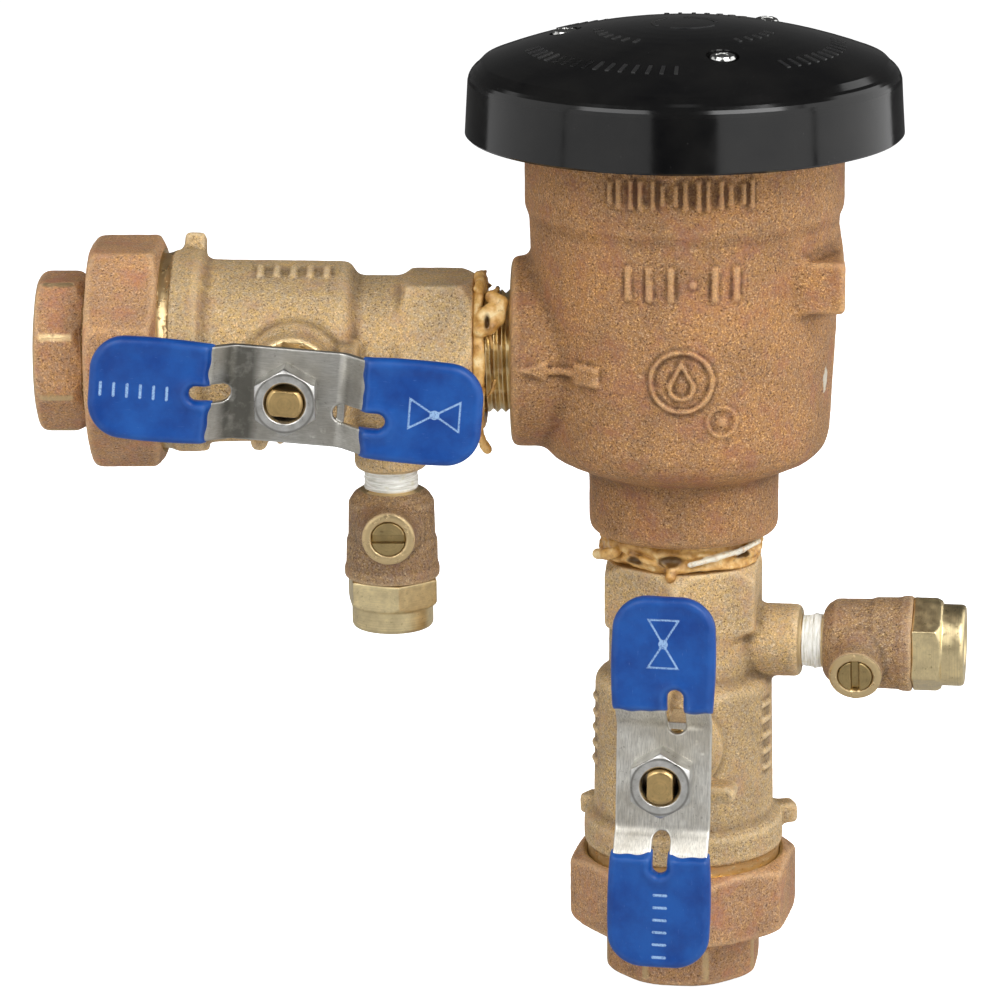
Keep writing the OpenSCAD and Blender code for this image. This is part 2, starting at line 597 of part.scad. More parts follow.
module outlet_stem() { at_outlet() stem(outlet_tilt); }
module outlet_stem_packing() { at_outlet() stem_packing(); }
module outlet_packing_nut() { at_outlet() packing_nut(); }
module outlet_lever() { at_outlet() lever(outlet_tilt); }
module outlet_lever_grips() { at_outlet() lever_grips(outlet_tilt); }
module outlet_lever_nut() { at_outlet() lever_nut(0); }
module inlet_cock_body() { at_inlet() at_cock(cock_turn) cock_body(); }
module inlet_cock_tape() { at_inlet() at_cock(cock_turn) cock_tape(); }
module inlet_cock_ball() { at_inlet() at_cock(cock_turn) cock_ball(); }
module inlet_cock_seats() { at_inlet() at_cock(cock_turn) cock_seats(); }
module inlet_cock_stem() { at_inlet() at_cock(cock_turn) cock_stem(); }
module inlet_cock_oring() { at_inlet() at_cock(cock_turn) cock_oring(); }
module inlet_cock_end() { at_inlet() at_cock(0) cock_end(0); }
module outlet_cock_body() { at_outlet() at_cock(0) cock_body(); }
module outlet_cock_tape() { at_outlet() at_cock(0) cock_tape(); }
module outlet_cock_ball() { at_outlet() at_cock(0) cock_ball(); }
module outlet_cock_seats() { at_outlet() at_cock(0) cock_seats(); }
module outlet_cock_stem() { at_outlet() at_cock(0) cock_stem(); }
module outlet_cock_oring() { at_outlet() at_cock(0) cock_oring(); }
module outlet_cock_end() { at_outlet() at_cock(0) cock_end(21); }

body();
inlet_nipple();
outlet_nipple();
inlet_thread_sealant();
outlet_thread_sealant();
bonnet();
bonnet_oring();
canopy();
canopy_screws();
air_poppet();
air_poppet_seal();
load_spring();
load_nut();
check_poppet();
check_disc();
disc_retainer();
check_spring();
check_guide();
inlet_tailpiece();
inlet_union_nut();
inlet_union_oring();
inlet_valve_body();
inlet_seat_retainer();
inlet_ball_seats();
inlet_ball();
inlet_stem();
inlet_stem_packing();
inlet_packing_nut();
inlet_lever();
inlet_lever_grips();
inlet_lever_nut();
outlet_tailpiece();
outlet_union_nut();
outlet_union_oring();
outlet_valve_body();
outlet_seat_retainer();
outlet_ball_seats();
outlet_ball();
outlet_stem();
outlet_stem_packing();
outlet_packing_nut();
outlet_lever();
outlet_lever_grips();
outlet_lever_nut();
inlet_cock_body();
inlet_cock_tape();
inlet_cock_ball();
inlet_cock_seats();
inlet_cock_stem();
inlet_cock_oring();
inlet_cock_end();
outlet_cock_body();
outlet_cock_tape();
outlet_cock_ball();
outlet_cock_seats();
outlet_cock_stem();
outlet_cock_oring();
outlet_cock_end();
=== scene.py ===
import bpy, json, math
import numpy as np
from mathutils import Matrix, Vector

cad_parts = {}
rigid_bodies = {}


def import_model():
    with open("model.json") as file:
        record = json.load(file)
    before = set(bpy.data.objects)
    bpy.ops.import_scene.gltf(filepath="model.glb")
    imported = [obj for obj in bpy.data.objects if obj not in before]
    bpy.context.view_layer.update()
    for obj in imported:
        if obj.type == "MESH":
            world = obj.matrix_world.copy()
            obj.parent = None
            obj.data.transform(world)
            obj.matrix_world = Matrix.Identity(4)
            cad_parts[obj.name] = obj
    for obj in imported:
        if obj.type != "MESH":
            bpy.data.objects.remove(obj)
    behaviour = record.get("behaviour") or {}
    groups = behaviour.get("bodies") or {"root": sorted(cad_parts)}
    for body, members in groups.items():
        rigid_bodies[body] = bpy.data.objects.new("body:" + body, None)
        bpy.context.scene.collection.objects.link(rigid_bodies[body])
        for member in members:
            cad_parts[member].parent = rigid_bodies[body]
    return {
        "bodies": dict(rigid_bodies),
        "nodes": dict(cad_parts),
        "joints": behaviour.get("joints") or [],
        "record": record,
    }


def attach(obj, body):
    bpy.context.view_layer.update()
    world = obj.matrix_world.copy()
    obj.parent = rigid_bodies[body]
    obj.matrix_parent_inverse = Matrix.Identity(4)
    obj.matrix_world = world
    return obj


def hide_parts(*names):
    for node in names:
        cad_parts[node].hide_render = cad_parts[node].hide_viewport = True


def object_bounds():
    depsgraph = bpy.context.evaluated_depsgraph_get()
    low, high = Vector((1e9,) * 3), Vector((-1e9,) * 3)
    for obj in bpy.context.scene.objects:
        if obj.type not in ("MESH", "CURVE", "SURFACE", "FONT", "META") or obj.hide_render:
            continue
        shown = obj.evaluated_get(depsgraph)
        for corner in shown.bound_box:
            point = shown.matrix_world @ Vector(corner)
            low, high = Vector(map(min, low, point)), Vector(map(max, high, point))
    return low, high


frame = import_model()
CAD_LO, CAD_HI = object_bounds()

import openvdb as vdb
from mathutils import Matrix, Vector

NODES = frame["nodes"]
BODY_OF = {n: b for b, ns in frame["record"]["behaviour"]["bodies"].items() for n in ns}
SLOT_OF = {s["node"]: s["material_slot"] for s in frame["record"]["subparts"]}
COL = bpy.context.scene.collection
MM = 0.001
OUTLET_Z = 0.1761

# ---------------------------------------------------------------- frames of the two valves (metres)
def T(x, y, z): return Matrix.Translation((x, y, z))
def R(deg, ax): return Matrix.Rotation(math.radians(deg), 4, ax)
INLET = R(-6, "Z")
OUTLET = T(-0.1754, 0, OUTLET_Z) @ R(90, "Y")
VALVES = {"inlet": (INLET, 1.0, 16.0), "outlet": (OUTLET, 5.0, 0.0)}   # matrix, lever's rest angle, turn of the test cock
def stem_m(v, a=0.0): return v @ T(0, 0, 0.071) @ R(90, "X") @ R(-a, "Z")
def cock_m(v, t=0.0): return v @ T(0, 0, 0.0952) @ R(90, "Y") @ R(t, "Z")
def mm(m):
    """A matrix in metres as (3x3, offset in millimetres)."""
    a = np.array(m, float)
    return a[:3, :3], a[:3, 3] * 1000
def to_world(p, m):
    a, t = mm(m); return p @ a.T + t
def to_local(p, m):
    a, t = mm(m); return (p - t) @ a

# ---------------------------------------------------------------- numpy helpers (all in millimetres)
def smooth(a, b, x):
    t = np.clip((x - a) / (b - a), 0, 1)
    return t * t * (3 - 2 * t)

def vnoise(p, f, seed=0):
    """Value noise in [-1, 1] at points p."""
    q = p * f + seed * 17.31
    i = np.floor(q).astype(np.int64)
    t = q - i
    t = t * t * (3 - 2 * t)
    out = np.zeros(len(p))
    for dx in (0, 1):
        for dy in (0, 1):
            for dz in (0, 1):
                n = ((i[:, 0] + dx) * 374761393 + (i[:, 1] + dy) * 668265263 + (i[:, 2] + dz) * 1442695041 + seed * 144665) & 0x7fffffff
                n = ((n ^ (n >> 13)) * 1274126177) & 0x7fffffff
                n = n ^ (n >> 16)
                w = (t[:, 0] if dx else 1 - t[:, 0]) * (t[:, 1] if dy else 1 - t[:, 1]) * (t[:, 2] if dz else 1 - t[:, 2])
                out += w * ((n & 0xffff) / 32767.5 - 1)
    return out

def fbm(p, f, seed=0, octaves=3):
    s, a, tot = 0, 1.0, 0
    for o in range(octaves):
        s = s + a * vnoise(p, f * 2 ** o, seed + o * 7); tot += a; a *= 0.5
    return s / tot

def mesh_arrays(me):
    me.calc_loop_triangles()
    co = np.empty(len(me.vertices) * 3, np.float32); me.vertices.foreach_get("co", co)
    tr = np.empty(len(me.loop_triangles) * 3, np.int32); me.loop_triangles.foreach_get("vertices", tr)
    return co.reshape(-1, 3).astype(float) * 1000, tr.reshape(-1, 3).astype(np.uint32)

def level_set(p, h, width, tris=None, quads=None):
    kw = {"triangles": tris} if tris is not None else {"quads": quads}
    return vdb.FloatGrid.createLevelSetFromPolygons(np.ascontiguousarray(p, dtype=np.float32),
        transform=vdb.createLinearTransform(voxelSize=h), halfWidth=width, **kw)

def oriented(p, q):
    """Quads with outward normals."""
    a, b, c, d = (p[q[:, k]] for k in range(4))
    vol = np.einsum("ij,ij->i", a, np.cross(b, c)).sum() + np.einsum("ij,ij->i", a, np.cross(c, d)).sum()
    return q if vol > 0 else q[:, ::-1]

def taubin(p, q, n, lam=0.5, mu=-0.53, weight=None):
    """Smooths without shrinking."""
    nv = len(p)
    a = np.concatenate([q[:, [0, 1]], q[:, [1, 2]], q[:, [2, 3]], q[:, [3, 0]]])
    i, j = a[:, 0].astype(np.int64), a[:, 1].astype(np.int64)
    deg = np.maximum(np.bincount(i, minlength=nv) + np.bincount(j, minlength=nv), 1)
    for _ in range(n):
        for k in (lam, mu):
            s = np.stack([np.bincount(i, p[j, c], nv) + np.bincount(j, p[i, c], nv) for c in range(3)], 1) / deg[:, None]
            d = (s - p) * k
            p = p + (d if weight is None else d * weight[:, None])
    return p

def normals(p, q):
    n = np.cross(p[q[:, 2]] - p[q[:, 0]], p[q[:, 3]] - p[q[:, 1]])
    out = np.stack([sum(np.bincount(q[:, k], n[:, c], len(p)) for k in range(4)) for c in range(3)], 1)
    return out / np.maximum(np.linalg.norm(out, axis=1), 1e-12)[:, None]

def curvature(p, q, n, rounds=4):
    """Mean curvature, positive on convex edges, lightly blurred."""
    nv = len(p)
    a = np.concatenate([q[:, [0, 1]], q[:, [1, 2]], q[:, [2, 3]], q[:, [3, 0]]]).astype(np.int64)
    i, j = a[:, 0], a[:, 1]
    deg = np.maximum(np.bincount(i, minlength=nv) + np.bincount(j, minlength=nv), 1)
    s = np.stack([np.bincount(i, p[j, c], nv) + np.bincount(j, p[i, c], nv) for c in range(3)], 1) / deg[:, None]
    c = -np.einsum("ij,ij->i", s - p, n)
    for _ in range(rounds):
        c = 0.4 * c + 0.6 * (np.bincount(i, c[j], nv) + np.bincount(j, c[i], nv)) / deg
    return c

def make_object(name, p, faces, attrs=None, smooth_shade=True):
    """A mesh object from points in millimetres of the row frame."""
    me = bpy.data.meshes.new(name)
    k = faces.shape[1]
    me.vertices.add(len(p)); me.vertices.foreach_set("co", (p * MM).astype(np.float32).ravel())
    me.loops.add(len(faces) * k); me.loops.foreach_set("vertex_index", faces.astype(np.int32).ravel())
    me.polygons.add(len(faces)); me.polygons.foreach_set("loop_start", np.arange(0, len(faces) * k, k, dtype=np.int32))
    me.update(calc_edges=True)
    me.polygons.foreach_set("use_smooth", np.full(len(faces), smooth_shade))
    for a, v in (attrs or {}).items():
        me.attributes.new(a, "FLOAT", "POINT").data.foreach_set("value", np.ascontiguousarray(v, dtype=np.float32))
    me.update()
    ob = bpy.data.objects.new(name, me)
    COL.objects.link(ob)
    return ob

def decimate(ob, target):
    faces = sum(len(pl.vertices) - 2 for pl in ob.data.polygons) if len(ob.data.polygons) < 1000 else len(ob.data.polygons) * (2 if len(ob.data.polygons[0].vertices) == 4 else 1)
    if faces <= target: return ob
    m = ob.modifiers.new("d", "DECIMATE"); m.ratio = target / faces
    dg = bpy.context.evaluated_depsgraph_get()
    me = bpy.data.meshes.new_from_object(ob.evaluated_get(dg))
    old = ob.data
    ob.modifiers.clear(); ob.data = me; me.name = ob.name
    bpy.data.meshes.remove(old)
    me.polygons.foreach_set("use_smooth", np.full(len(me.polygons), True))
    return ob

def put(ob, node, mat, body=None):
    ob.data.materials.clear(); ob.data.materials.append(mat)
    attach(ob, body or BODY_OF[node])
    return ob

def stand_for(ob, node, mat):
    """The piece takes the CAD node's place and body, with the given material."""
    put(ob, node, mat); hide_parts(node)
    return ob

def soften(node, h, close_r, open_r):
    """The node's surface with its hollow corners filleted by close_r and its outer edges rounded by open_r."""
    p, t = mesh_arrays(NODES[node].data)
    g = level_set(p, h, close_r / h + 3, tris=t)
    if close_r > 0:
        p, q = g.convertToQuads(isovalue=close_r); g = level_set(p, h, close_r / h + 3, quads=q)
        p, q = g.convertToQuads(isovalue=-close_r); g = level_set(p, h, open_r / h + 3, quads=q)
    if open_r > 0:
        p, q = g.convertToQuads(isovalue=-open_r); g = level_set(p, h, open_r / h + 3, quads=q)
        p, q = g.convertToQuads(isovalue=open_r)
    else:
        p, q = g.convertToQuads(isovalue=0.0)
    return p.astype(float), q

def remark(p, q, h, marks):
    """Raises each mark out of the surface: marks are (lowest corner, highest corner, function of points giving the lift)."""
    g = level_set(p, h, 5, quads=q)
    lo = np.floor(p.min(0) / h).astype(int) - 6
    n = np.ceil(p.max(0) / h).astype(int) + 7 - lo
    a = np.empty(tuple(n), np.float32)
    g.copyToArray(a, ijk=tuple(int(v) for v in lo))
    for mlo, mhi, fn in marks:
        i0 = np.maximum(np.floor(np.array(mlo) / h).astype(int) - lo, 0)
        i1 = np.minimum(np.ceil(np.array(mhi) / h).astype(int) - lo + 1, n)
        gx, gy, gz = np.meshgrid(*[(np.arange(i0[k], i1[k]) + lo[k]) * h for k in range(3)], indexing="ij")
        pts = np.stack([gx.ravel(), gy.ravel(), gz.ravel()], 1)
        sub = a[i0[0]:i1[0], i0[1]:i1[1], i0[2]:i1[2]]
        near = np.abs(sub.ravel()) < 2.4
        lift = np.zeros(len(pts)); lift[near] = fn(pts[near])
        sub -= lift.reshape(sub.shape).astype(np.float32)
    g2 = vdb.FloatGrid(background=5 * h)
    g2.copyFromArray(np.clip(a, -5 * h, 5 * h), ijk=tuple(int(v) for v in lo))
    g2.transform = vdb.createLinearTransform(voxelSize=h)
    p, q = g2.convertToQuads(isovalue=0.0)
    return p.astype(float), q

def casting(name, node, mat, h, close_r, open_r, target, marks=(), rough=0.10, steps=3, masks=None, seed=1, fine=None):
    p, q = soften(node, h, close_r, open_r)
    if marks: h = fine or h; p, q = remark(p, q, h, marks)
    q = oriented(p, q)
    p = taubin(p, q, steps)
    n = normals(p, q)
    amp = rough * np.ones(len(p))
    attrs = {}
    if masks is not None:
        attrs = masks(p, n)
        amp = amp * (1 - attrs["machined"])
    p = p + n * (amp * (0.7 * fbm(p, 0.13, seed, 2) + 0.5 * fbm(p, 0.6, seed + 3, 2)))[:, None]
    raw = mesh_arrays(NODES[node].data)[0]
    p = np.clip(p, np.maximum(raw.min(0) - 1.0, np.array(CAD_LO) * 1000 + 0.01), np.minimum(raw.max(0) + 1.0, np.array(CAD_HI) * 1000 - 0.01))
    attrs.setdefault("machined", np.zeros(len(p)))
    attrs["curv"] = np.clip(curvature(p, q, n) * 14 / h, -1, 1)
    ob = make_object(name, p, q, attrs)
    decimate(ob, target)
    stand_for(ob, node, mat)
    return ob

# signed distances in the plane, and a soft edge
def sd_box(u, v, cu, cv, hu, hv, r=0.0):
    x, y = np.abs(u - cu) - hu + r, np.abs(v - cv) - hv + r
    return np.minimum(np.maximum(x, y), 0) + np.hypot(np.maximum(x, 0), np.maximum(y, 0)) - r
def sd_seg(u, v, a, b, r):
    pu, pv, bu, bv = u - a[0], v - a[1], b[0] - a[0], b[1] - a[1]
    k = np.clip((pu * bu + pv * bv) / (bu * bu + bv * bv), 0, 1)
    return np.hypot(pu - bu * k, pv - bv * k) - r
def soft(d, w=0.45): return smooth(w, -w, d)

# ---------------------------------------------------------------- node material helper
class Mat:
    """Builds a procedural material. Positions are in millimetres of the row frame."""
    def __init__(self, name, **fixed):
        self.m = bpy.data.materials.new(name)
        self.m.use_nodes = True
        self.t = self.m.node_tree
        self.t.nodes.clear()
        self.out = self.t.nodes.new("ShaderNodeOutputMaterial")
        self.b = self.t.nodes.new("ShaderNodeBsdfPrincipled")
        self.link(self.b.outputs[0], self.out.inputs[0])
        tc = self.t.nodes.new("ShaderNodeTexCoord")
        self.pos = self.vmath("SCALE", tc.outputs["Object"], scale=1000.0)
        for k, v in fixed.items(): self.set(k.replace("_", " "), v)
    def set(self, socket, value):
        s = self.b.inputs[socket]
        s.default_value = (*value, 1.0) if s.type == "RGBA" else value
    def link(self, a, b): self.t.links.new(a, b)
    def into(self, socket, value): self.link(value, self.b.inputs[socket])
    def put(self, inp, v):
        if isinstance(v, bpy.types.NodeSocket): self.link(v, inp)
        elif inp.type == "RGBA": inp.default_value = (*v, 1.0)
        else: inp.default_value = v
    def vmath(self, op, a, b=None, scale=None):
        n = self.t.nodes.new("ShaderNodeVectorMath"); n.operation = op
        self.put(n.inputs[0], a)
        if b is not None: self.put(n.inputs[1], b)
        if scale is not None: n.inputs["Scale"].default_value = scale
        return n.outputs["Value"] if op in ("LENGTH", "DOT_PRODUCT", "DISTANCE") else n.outputs["Vector"]
    def math(self, op, a, b=None, c=None, clamp=False):
        n = self.t.nodes.new("ShaderNodeMath"); n.operation = op; n.use_clamp = clamp
        for i, v in enumerate((a, b, c)):
            if v is not None: self.put(n.inputs[i], v)
        return n.outputs[0]
    def noise(self, scale, detail=2.0, rough=0.5, vec=None, dist=0.0):
        n = self.t.nodes.new("ShaderNodeTexNoise")
        n.inputs["Scale"].default_value = scale; n.inputs["Detail"].default_value = detail
        n.inputs["Roughness"].default_value = rough; n.inputs["Distortion"].default_value = dist
        self.link(vec if vec is not None else self.pos, n.inputs["Vector"])
        return n.outputs["Fac"]
    def voronoi(self, scale, vec=None):
        n = self.t.nodes.new("ShaderNodeTexVoronoi")
        n.inputs["Scale"].default_value = scale
        self.link(vec if vec is not None else self.pos, n.inputs["Vector"])
        return n.outputs["Distance"]
    def ramp(self, fac, stops):
        n = self.t.nodes.new("ShaderNodeValToRGB")
        el = n.color_ramp.elements
        while len(el) < len(stops): el.new(0.5)
        for e, (p, c) in zip(el, stops):
            e.position = p; e.color = (c, c, c, 1) if isinstance(c, (int, float)) else (*c, 1)
        self.link(fac, n.inputs[0])
        return n.outputs[0]
    def mix(self, fac, a, b, blend="MIX"):
        n = self.t.nodes.new("ShaderNodeMix"); n.data_type = "RGBA"; n.blend_type = blend
        self.put(n.inputs[0], fac); self.put(n.inputs[6], a); self.put(n.inputs[7], b)
        return n.outputs[2]
    def range(self, v, a, b, c, d):
        n = self.t.nodes.new("ShaderNodeMapRange")
        self.put(n.inputs[0], v)
        for i, x in enumerate((a, b, c, d)): n.inputs[i + 1].default_value = x
        return n.outputs[0]
    def bump(self, height, dist, strength=1.0, under=None):
        n = self.t.nodes.new("ShaderNodeBump")
        n.inputs["Strength"].default_value = strength
        n.inputs["Distance"].default_value = dist * MM
        self.link(height, n.inputs["Height"])
        if under is not None: self.link(under, n.inputs["Normal"])
        return n.outputs[0]
    def attr(self, name):
        n = self.t.nodes.new("ShaderNodeAttribute"); n.attribute_name = name
        return n.outputs["Fac"]
    def sep(self, v):
        n = self.t.nodes.new("ShaderNodeSeparateXYZ"); self.link(v, n.inputs[0]); return n.outputs
    def combine(self, x, y, z):
        n = self.t.nodes.new("ShaderNodeCombineXYZ")
        for i, v in enumerate((x, y, z)): self.put(n.inputs[i], v)
        return n.outputs[0]
    def local(self, m):
        """The position in another frame, in millimetres: m is that frame's matrix in metres."""
        inv = m.inverted()
        rows = []
        for r in range(3):
            d = self.vmath("DOT_PRODUCT", self.pos, tuple(inv[r][c] for c in range(3)))
            rows.append(self.math("ADD", d, inv[r][3] * 1000))
        return self.combine(*rows), rows

def srgb(r, g, b):
    f = lambda c: (c / 255 / 12.92) if c / 255 <= 0.04045 else ((c / 255 + 0.055) / 1.055) ** 2.4
    return (f(r), f(g), f(b))

# ---------------------------------------------------------------- materials
def cast_bronze(name, dark, mid, light, pink, grain=1.0, seed=0.0, marks=None, glow=1.0):
    m = Mat(name, **{"Specular_IOR_Level": 0.5})
    p = m.vmath("ADD", m.pos, (seed, seed * 1.7, -seed))
    fine = m.noise(1.9, 3.0, 0.65, p)          # sand grain
    grit = m.noise(4.2, 1.0, 0.5, p)
    coarse = m.noise(0.42, 2.0, 0.55, p)
    big = m.noise(0.05, 3.0, 0.55, p)           # slow change of tone over the casting
    g = m.math("ADD", m.math("MULTIPLY", fine, 0.7), m.math("MULTIPLY", grit, 0.3))
    base = m.ramp(g, [(0.37, dark), (0.455, mid), (0.545, mid), (0.63, light)])
    base = m.mix(1.0, base, m.ramp(big, [(0.35, (0.84, 0.84, 0.86)), (0.5, (1.0, 1.0, 1.0)), (0.66, (1.12, 1.08, 1.0))]), "MULTIPLY")
    pk = m.ramp(m.noise(0.11, 4.0, 0.62, m.vmath("ADD", p, (31, 7, 3))), [(0.50, 0.0), (0.68, 0.62)])
    base = m.mix(pk, base, m.mix(g, tuple(c * 0.62 for c in pink), tuple(min(1, c * 1.35) for c in pink)))
    hue = m.ramp(m.noise(0.8, 2.0, 0.6, m.vmath("ADD", p, (3, 60, 9))), [(0.36, (0.90, 0.97, 1.14)), (0.5, (1.0, 1.0, 1.0)), (0.64, (1.05, 1.03, 0.84))])
    base = m.mix(1.0, base, hue, "MULTIPLY")
    curv = m.attr("curv")
    # Painted light from the curvature: convex edges lightened, partly rubbed edge wear and partly a painted highlight;
    # concave hollows and creases darkened, a painted shade.
    base = m.mix(m.range(curv, 0.12, 0.8, 0.0, 0.35), base, tuple(min(1, c * 1.12) for c in light))
    base = m.mix(m.range(curv, -0.06, -0.7, 0.0, 0.72), base, tuple(c * 0.72 for c in dark))
    pits = m.math("MULTIPLY", m.ramp(m.voronoi(0.42, p), [(0.0, 1.0), (0.10, 0.0)]), m.ramp(coarse, [(0.55, 0.0), (0.64, 0.8)]))
    base = m.mix(pits, base, tuple(c * 0.3 for c in dark))
    if marks: base = marks(m, base)
    mach = m.attr("machined")
    ms = m.math("MULTIPLY", mach, m.ramp(m.noise(0.9, 3.0, 0.6, p), [(0.26, 0.55), (0.42, 1.0)]))
    m.into("Base Color", m.mix(ms, base, (0.74, 0.56, 0.30)))
    m.into("Metallic", m.math("ADD", m.math("MULTIPLY", ms, 0.45), 0.5))
    m.into("Roughness", m.math("SUBTRACT", m.ramp(coarse, [(0.3, 0.50), (0.7, 0.64)]), m.math("MULTIPLY", ms, 0.24)))
    h = m.math("ADD", m.math("MULTIPLY", g, 1.25), m.math("MULTIPLY", coarse, 0.9))
    h = m.math("SUBTRACT", h, m.math("MULTIPLY", pits, 0.7))
    h = m.math("MULTIPLY", h, m.math("SUBTRACT", 1.0, m.math("MULTIPLY", ms, 0.93)))
    m.into("Normal", m.bump(h, 0.50 * grain, 1.0))
    return m.m

def scuff_mark(m, base):
    """A pale rub on the right side of the barrel."""
    q = m.vmath("SUBTRACT", m.pos, (38.6, -14.4, 171.5))
    sx = m.sep(q)
    d = m.vmath("LENGTH", m.combine(m.math("MULTIPLY", sx[0], 0.9), m.math("MULTIPLY", sx[1], 0.9), m.math("MULTIPLY", sx[2], 0.42)))
    k = m.math("ADD", m.range(d, 0.4, 3.0, 0.75, -0.45), m.math("MULTIPLY", m.noise(0.45, 4.0, 0.65), 0.9))
    return m.mix(m.ramp(k, [(0.62, 0.0), (0.74, 0.85)]), base, srgb(214, 208, 192))

BRONZE_MAIN = cast_bronze("cast_bronze_main", srgb(84, 52, 30), srgb(175, 131, 89), srgb(232, 189, 137), srgb(168, 112, 88), 1.0, 0.0, scuff_mark)
BRONZE_VALVE = cast_bronze("cast_bronze_valve", srgb(102, 75, 47), srgb(199, 170, 127), srgb(242, 217, 173), srgb(196, 156, 122), 0.85, 40.0)
BRONZE_NUT = cast_bronze("cast_bronze_nut", srgb(98, 66, 41), srgb(186, 144, 106), srgb(230, 192, 147), srgb(190, 128, 100), 0.75, 80.0)
BRONZE_COCK = cast_bronze("cast_bronze_cock", srgb(64, 45, 31), srgb(167, 135, 100), srgb(224, 196, 156), srgb(150, 112, 92), 0.85, 120.0)

def turned(name, tint, frames, rough=0.26, stain=None, ring=3.0, amount=0.02):
    """Turned metal: fine rings about the piece's own axis, with a few stains."""
    m = Mat(name, Metallic=1.0)
    loc, c = m.local(frames)
    r = m.math("SQRT", m.math("ADD", m.math("MULTIPLY", c[0], c[0]), m.math("MULTIPLY", c[1], c[1])))
    rings = m.noise(ring, 3.0, 0.6, m.combine(m.math("MULTIPLY", r, 1.0), 0.0, m.math("MULTIPLY", c[2], 1.0)))
    n = m.noise(0.35, 4.0, 0.6)
    base = m.mix(m.ramp(n, [(0.3, 0.0), (0.7, 1.0)]), tuple(v * 0.80 for v in tint), tuple(min(1, v * 1.12) for v in tint))
    base = m.mix(m.range(rings, 0.35, 0.65, 0.0, 0.35), base, tuple(v * 0.62 for v in tint))
    if stain:
        sp = m.ramp(m.noise(0.8, 5.0, 0.7, m.vmath("ADD", m.pos, (5, 9, 1))), [(0.60, 0.0), (0.72, 0.8)])
        base = m.mix(sp, base, stain)
    m.into("Base Color", base)
    m.into("Roughness", m.math("ADD", m.range(n, 0.3, 0.7, rough - 0.05, rough + 0.09), m.math("MULTIPLY", rings, 0.08)))
    m.into("Normal", m.bump(rings, amount, 0.8, m.bump(m.noise(2.5, 2.0, 0.5), 0.02, 0.4)))
    return m.m

def plate_steel(name, frame, seed, nut_shadow=0.0, lift=1.0):
    """Rolled stainless sheet: lengthwise brushing, smudges and a few scratches."""
    m = Mat(name, Metallic=1.0)
    loc, c = m.local(frame)
    brush = m.noise(1.0, 4.0, 0.62, m.combine(m.math("MULTIPLY", c[0], 5.0), m.math("MULTIPLY", c[1], 0.35), m.math("MULTIPLY", c[2], 1.0)))
    smudge = m.noise(0.085, 4.0, 0.6, m.vmath("ADD", m.pos, (seed, 0, seed)))
    spots = m.noise(0.9, 4.0, 0.7, m.vmath("ADD", m.pos, (0, seed, 3)))
    # lift scales the whole colour: painted light, it makes one plate a lit copy of the same steel
    base = m.mix(m.ramp(smudge, [(0.36, 0.0), (0.62, 1.0)]), tuple(v * lift for v in (0.40, 0.375, 0.325)), tuple(v * lift for v in (0.60, 0.585, 0.54)))
    base = m.mix(m.range(brush, 0.4, 0.62, 0.0, 0.45), base, (0.30, 0.285, 0.25))
    base = m.mix(m.ramp(spots, [(0.62, 0.0), (0.72, 0.55)]), base, (0.17, 0.14, 0.10))
    if nut_shadow:      # painted shadow of the nut, mottled, between one bend and the nut
        k = m.range(m.math("ABSOLUTE", m.math("ADD", c[1], 12.6)), 5.6, 3.0, 0.0, nut_shadow)
        k = m.math("MULTIPLY", k, m.ramp(m.noise(0.30, 3.0, 0.6), [(0.32, 0.55), (0.5, 1.0)]))
        base = m.mix(k, base, (0.135, 0.13, 0.11))
    # painted highlight: convex edges of the plate lightened
    edge_highlight = m.attr("curv")
    base = m.mix(m.range(edge_highlight, 0.2, 0.8, 0.0, 0.6), base, (0.80, 0.79, 0.75))
    m.into("Base Color", base)
    m.into("Roughness", m.math("ADD", m.range(smudge, 0.35, 0.65, 0.44, 0.30), m.math("MULTIPLY", brush, 0.10)))
    m.into("Normal", m.bump(brush, 0.03, 0.7, m.bump(m.noise(0.16, 3.0, 0.5), 0.25, 0.5)))
    return m.m

def zinc(name, frame):
    m = Mat(name, Metallic=1.0)
    loc, c = m.local(frame)
    r = m.math("SQRT", m.math("ADD", m.math("MULTIPLY", c[0], c[0]), m.math("MULTIPLY", c[1], c[1])))
    rings = m.noise(5.0, 2.0, 0.5, m.combine(r, 0.0, m.math("MULTIPLY", c[2], 0.3)))
    haze = m.noise(0.3, 4.0, 0.6)
    base = m.mix(m.ramp(haze, [(0.34, 0.0), (0.66, 1.0)]), (0.50, 0.49, 0.46), (0.74, 0.735, 0.71))
    base = m.mix(m.ramp(m.noise(1.3, 4.0, 0.7), [(0.62, 0.0), (0.74, 0.6)]), base, (0.24, 0.21, 0.17))
    # painted shade: a dark ring at radius 7.7 stands in for the chamfer's edge on the nut face
    base = m.mix(m.range(m.math("ABSOLUTE", m.math("SUBTRACT", r, 7.7)), 0.45, 0.15, 0.0, 0.7), base, (0.20, 0.19, 0.17))
    m.into("Base Color", base)
    m.into("Roughness", m.math("ADD", m.range(haze, 0.3, 0.7, 0.22, 0.36), m.math("MULTIPLY", rings, 0.08)))
    m.into("Normal", m.bump(rings, 0.02, 0.6, m.bump(m.noise(1.6, 3.0, 0.6), 0.03, 0.5)))
    return m.m

def plain_metal(name, tint, rough):
    m = Mat(name, Metallic=1.0)
    n = m.noise(0.25, 4.0, 0.6)
    m.into("Base Color", m.mix(n, tuple(v * 0.8 for v in tint), tint))
    s = m.noise(1.2, 5.0, 0.65)
    m.into("Roughness", m.range(s, 0.3, 0.7, rough - 0.08, rough + 0.12))
    m.into("Normal", m.bump(m.noise(3.0, 3.0, 0.6), 0.03, 0.5))
    return m.m

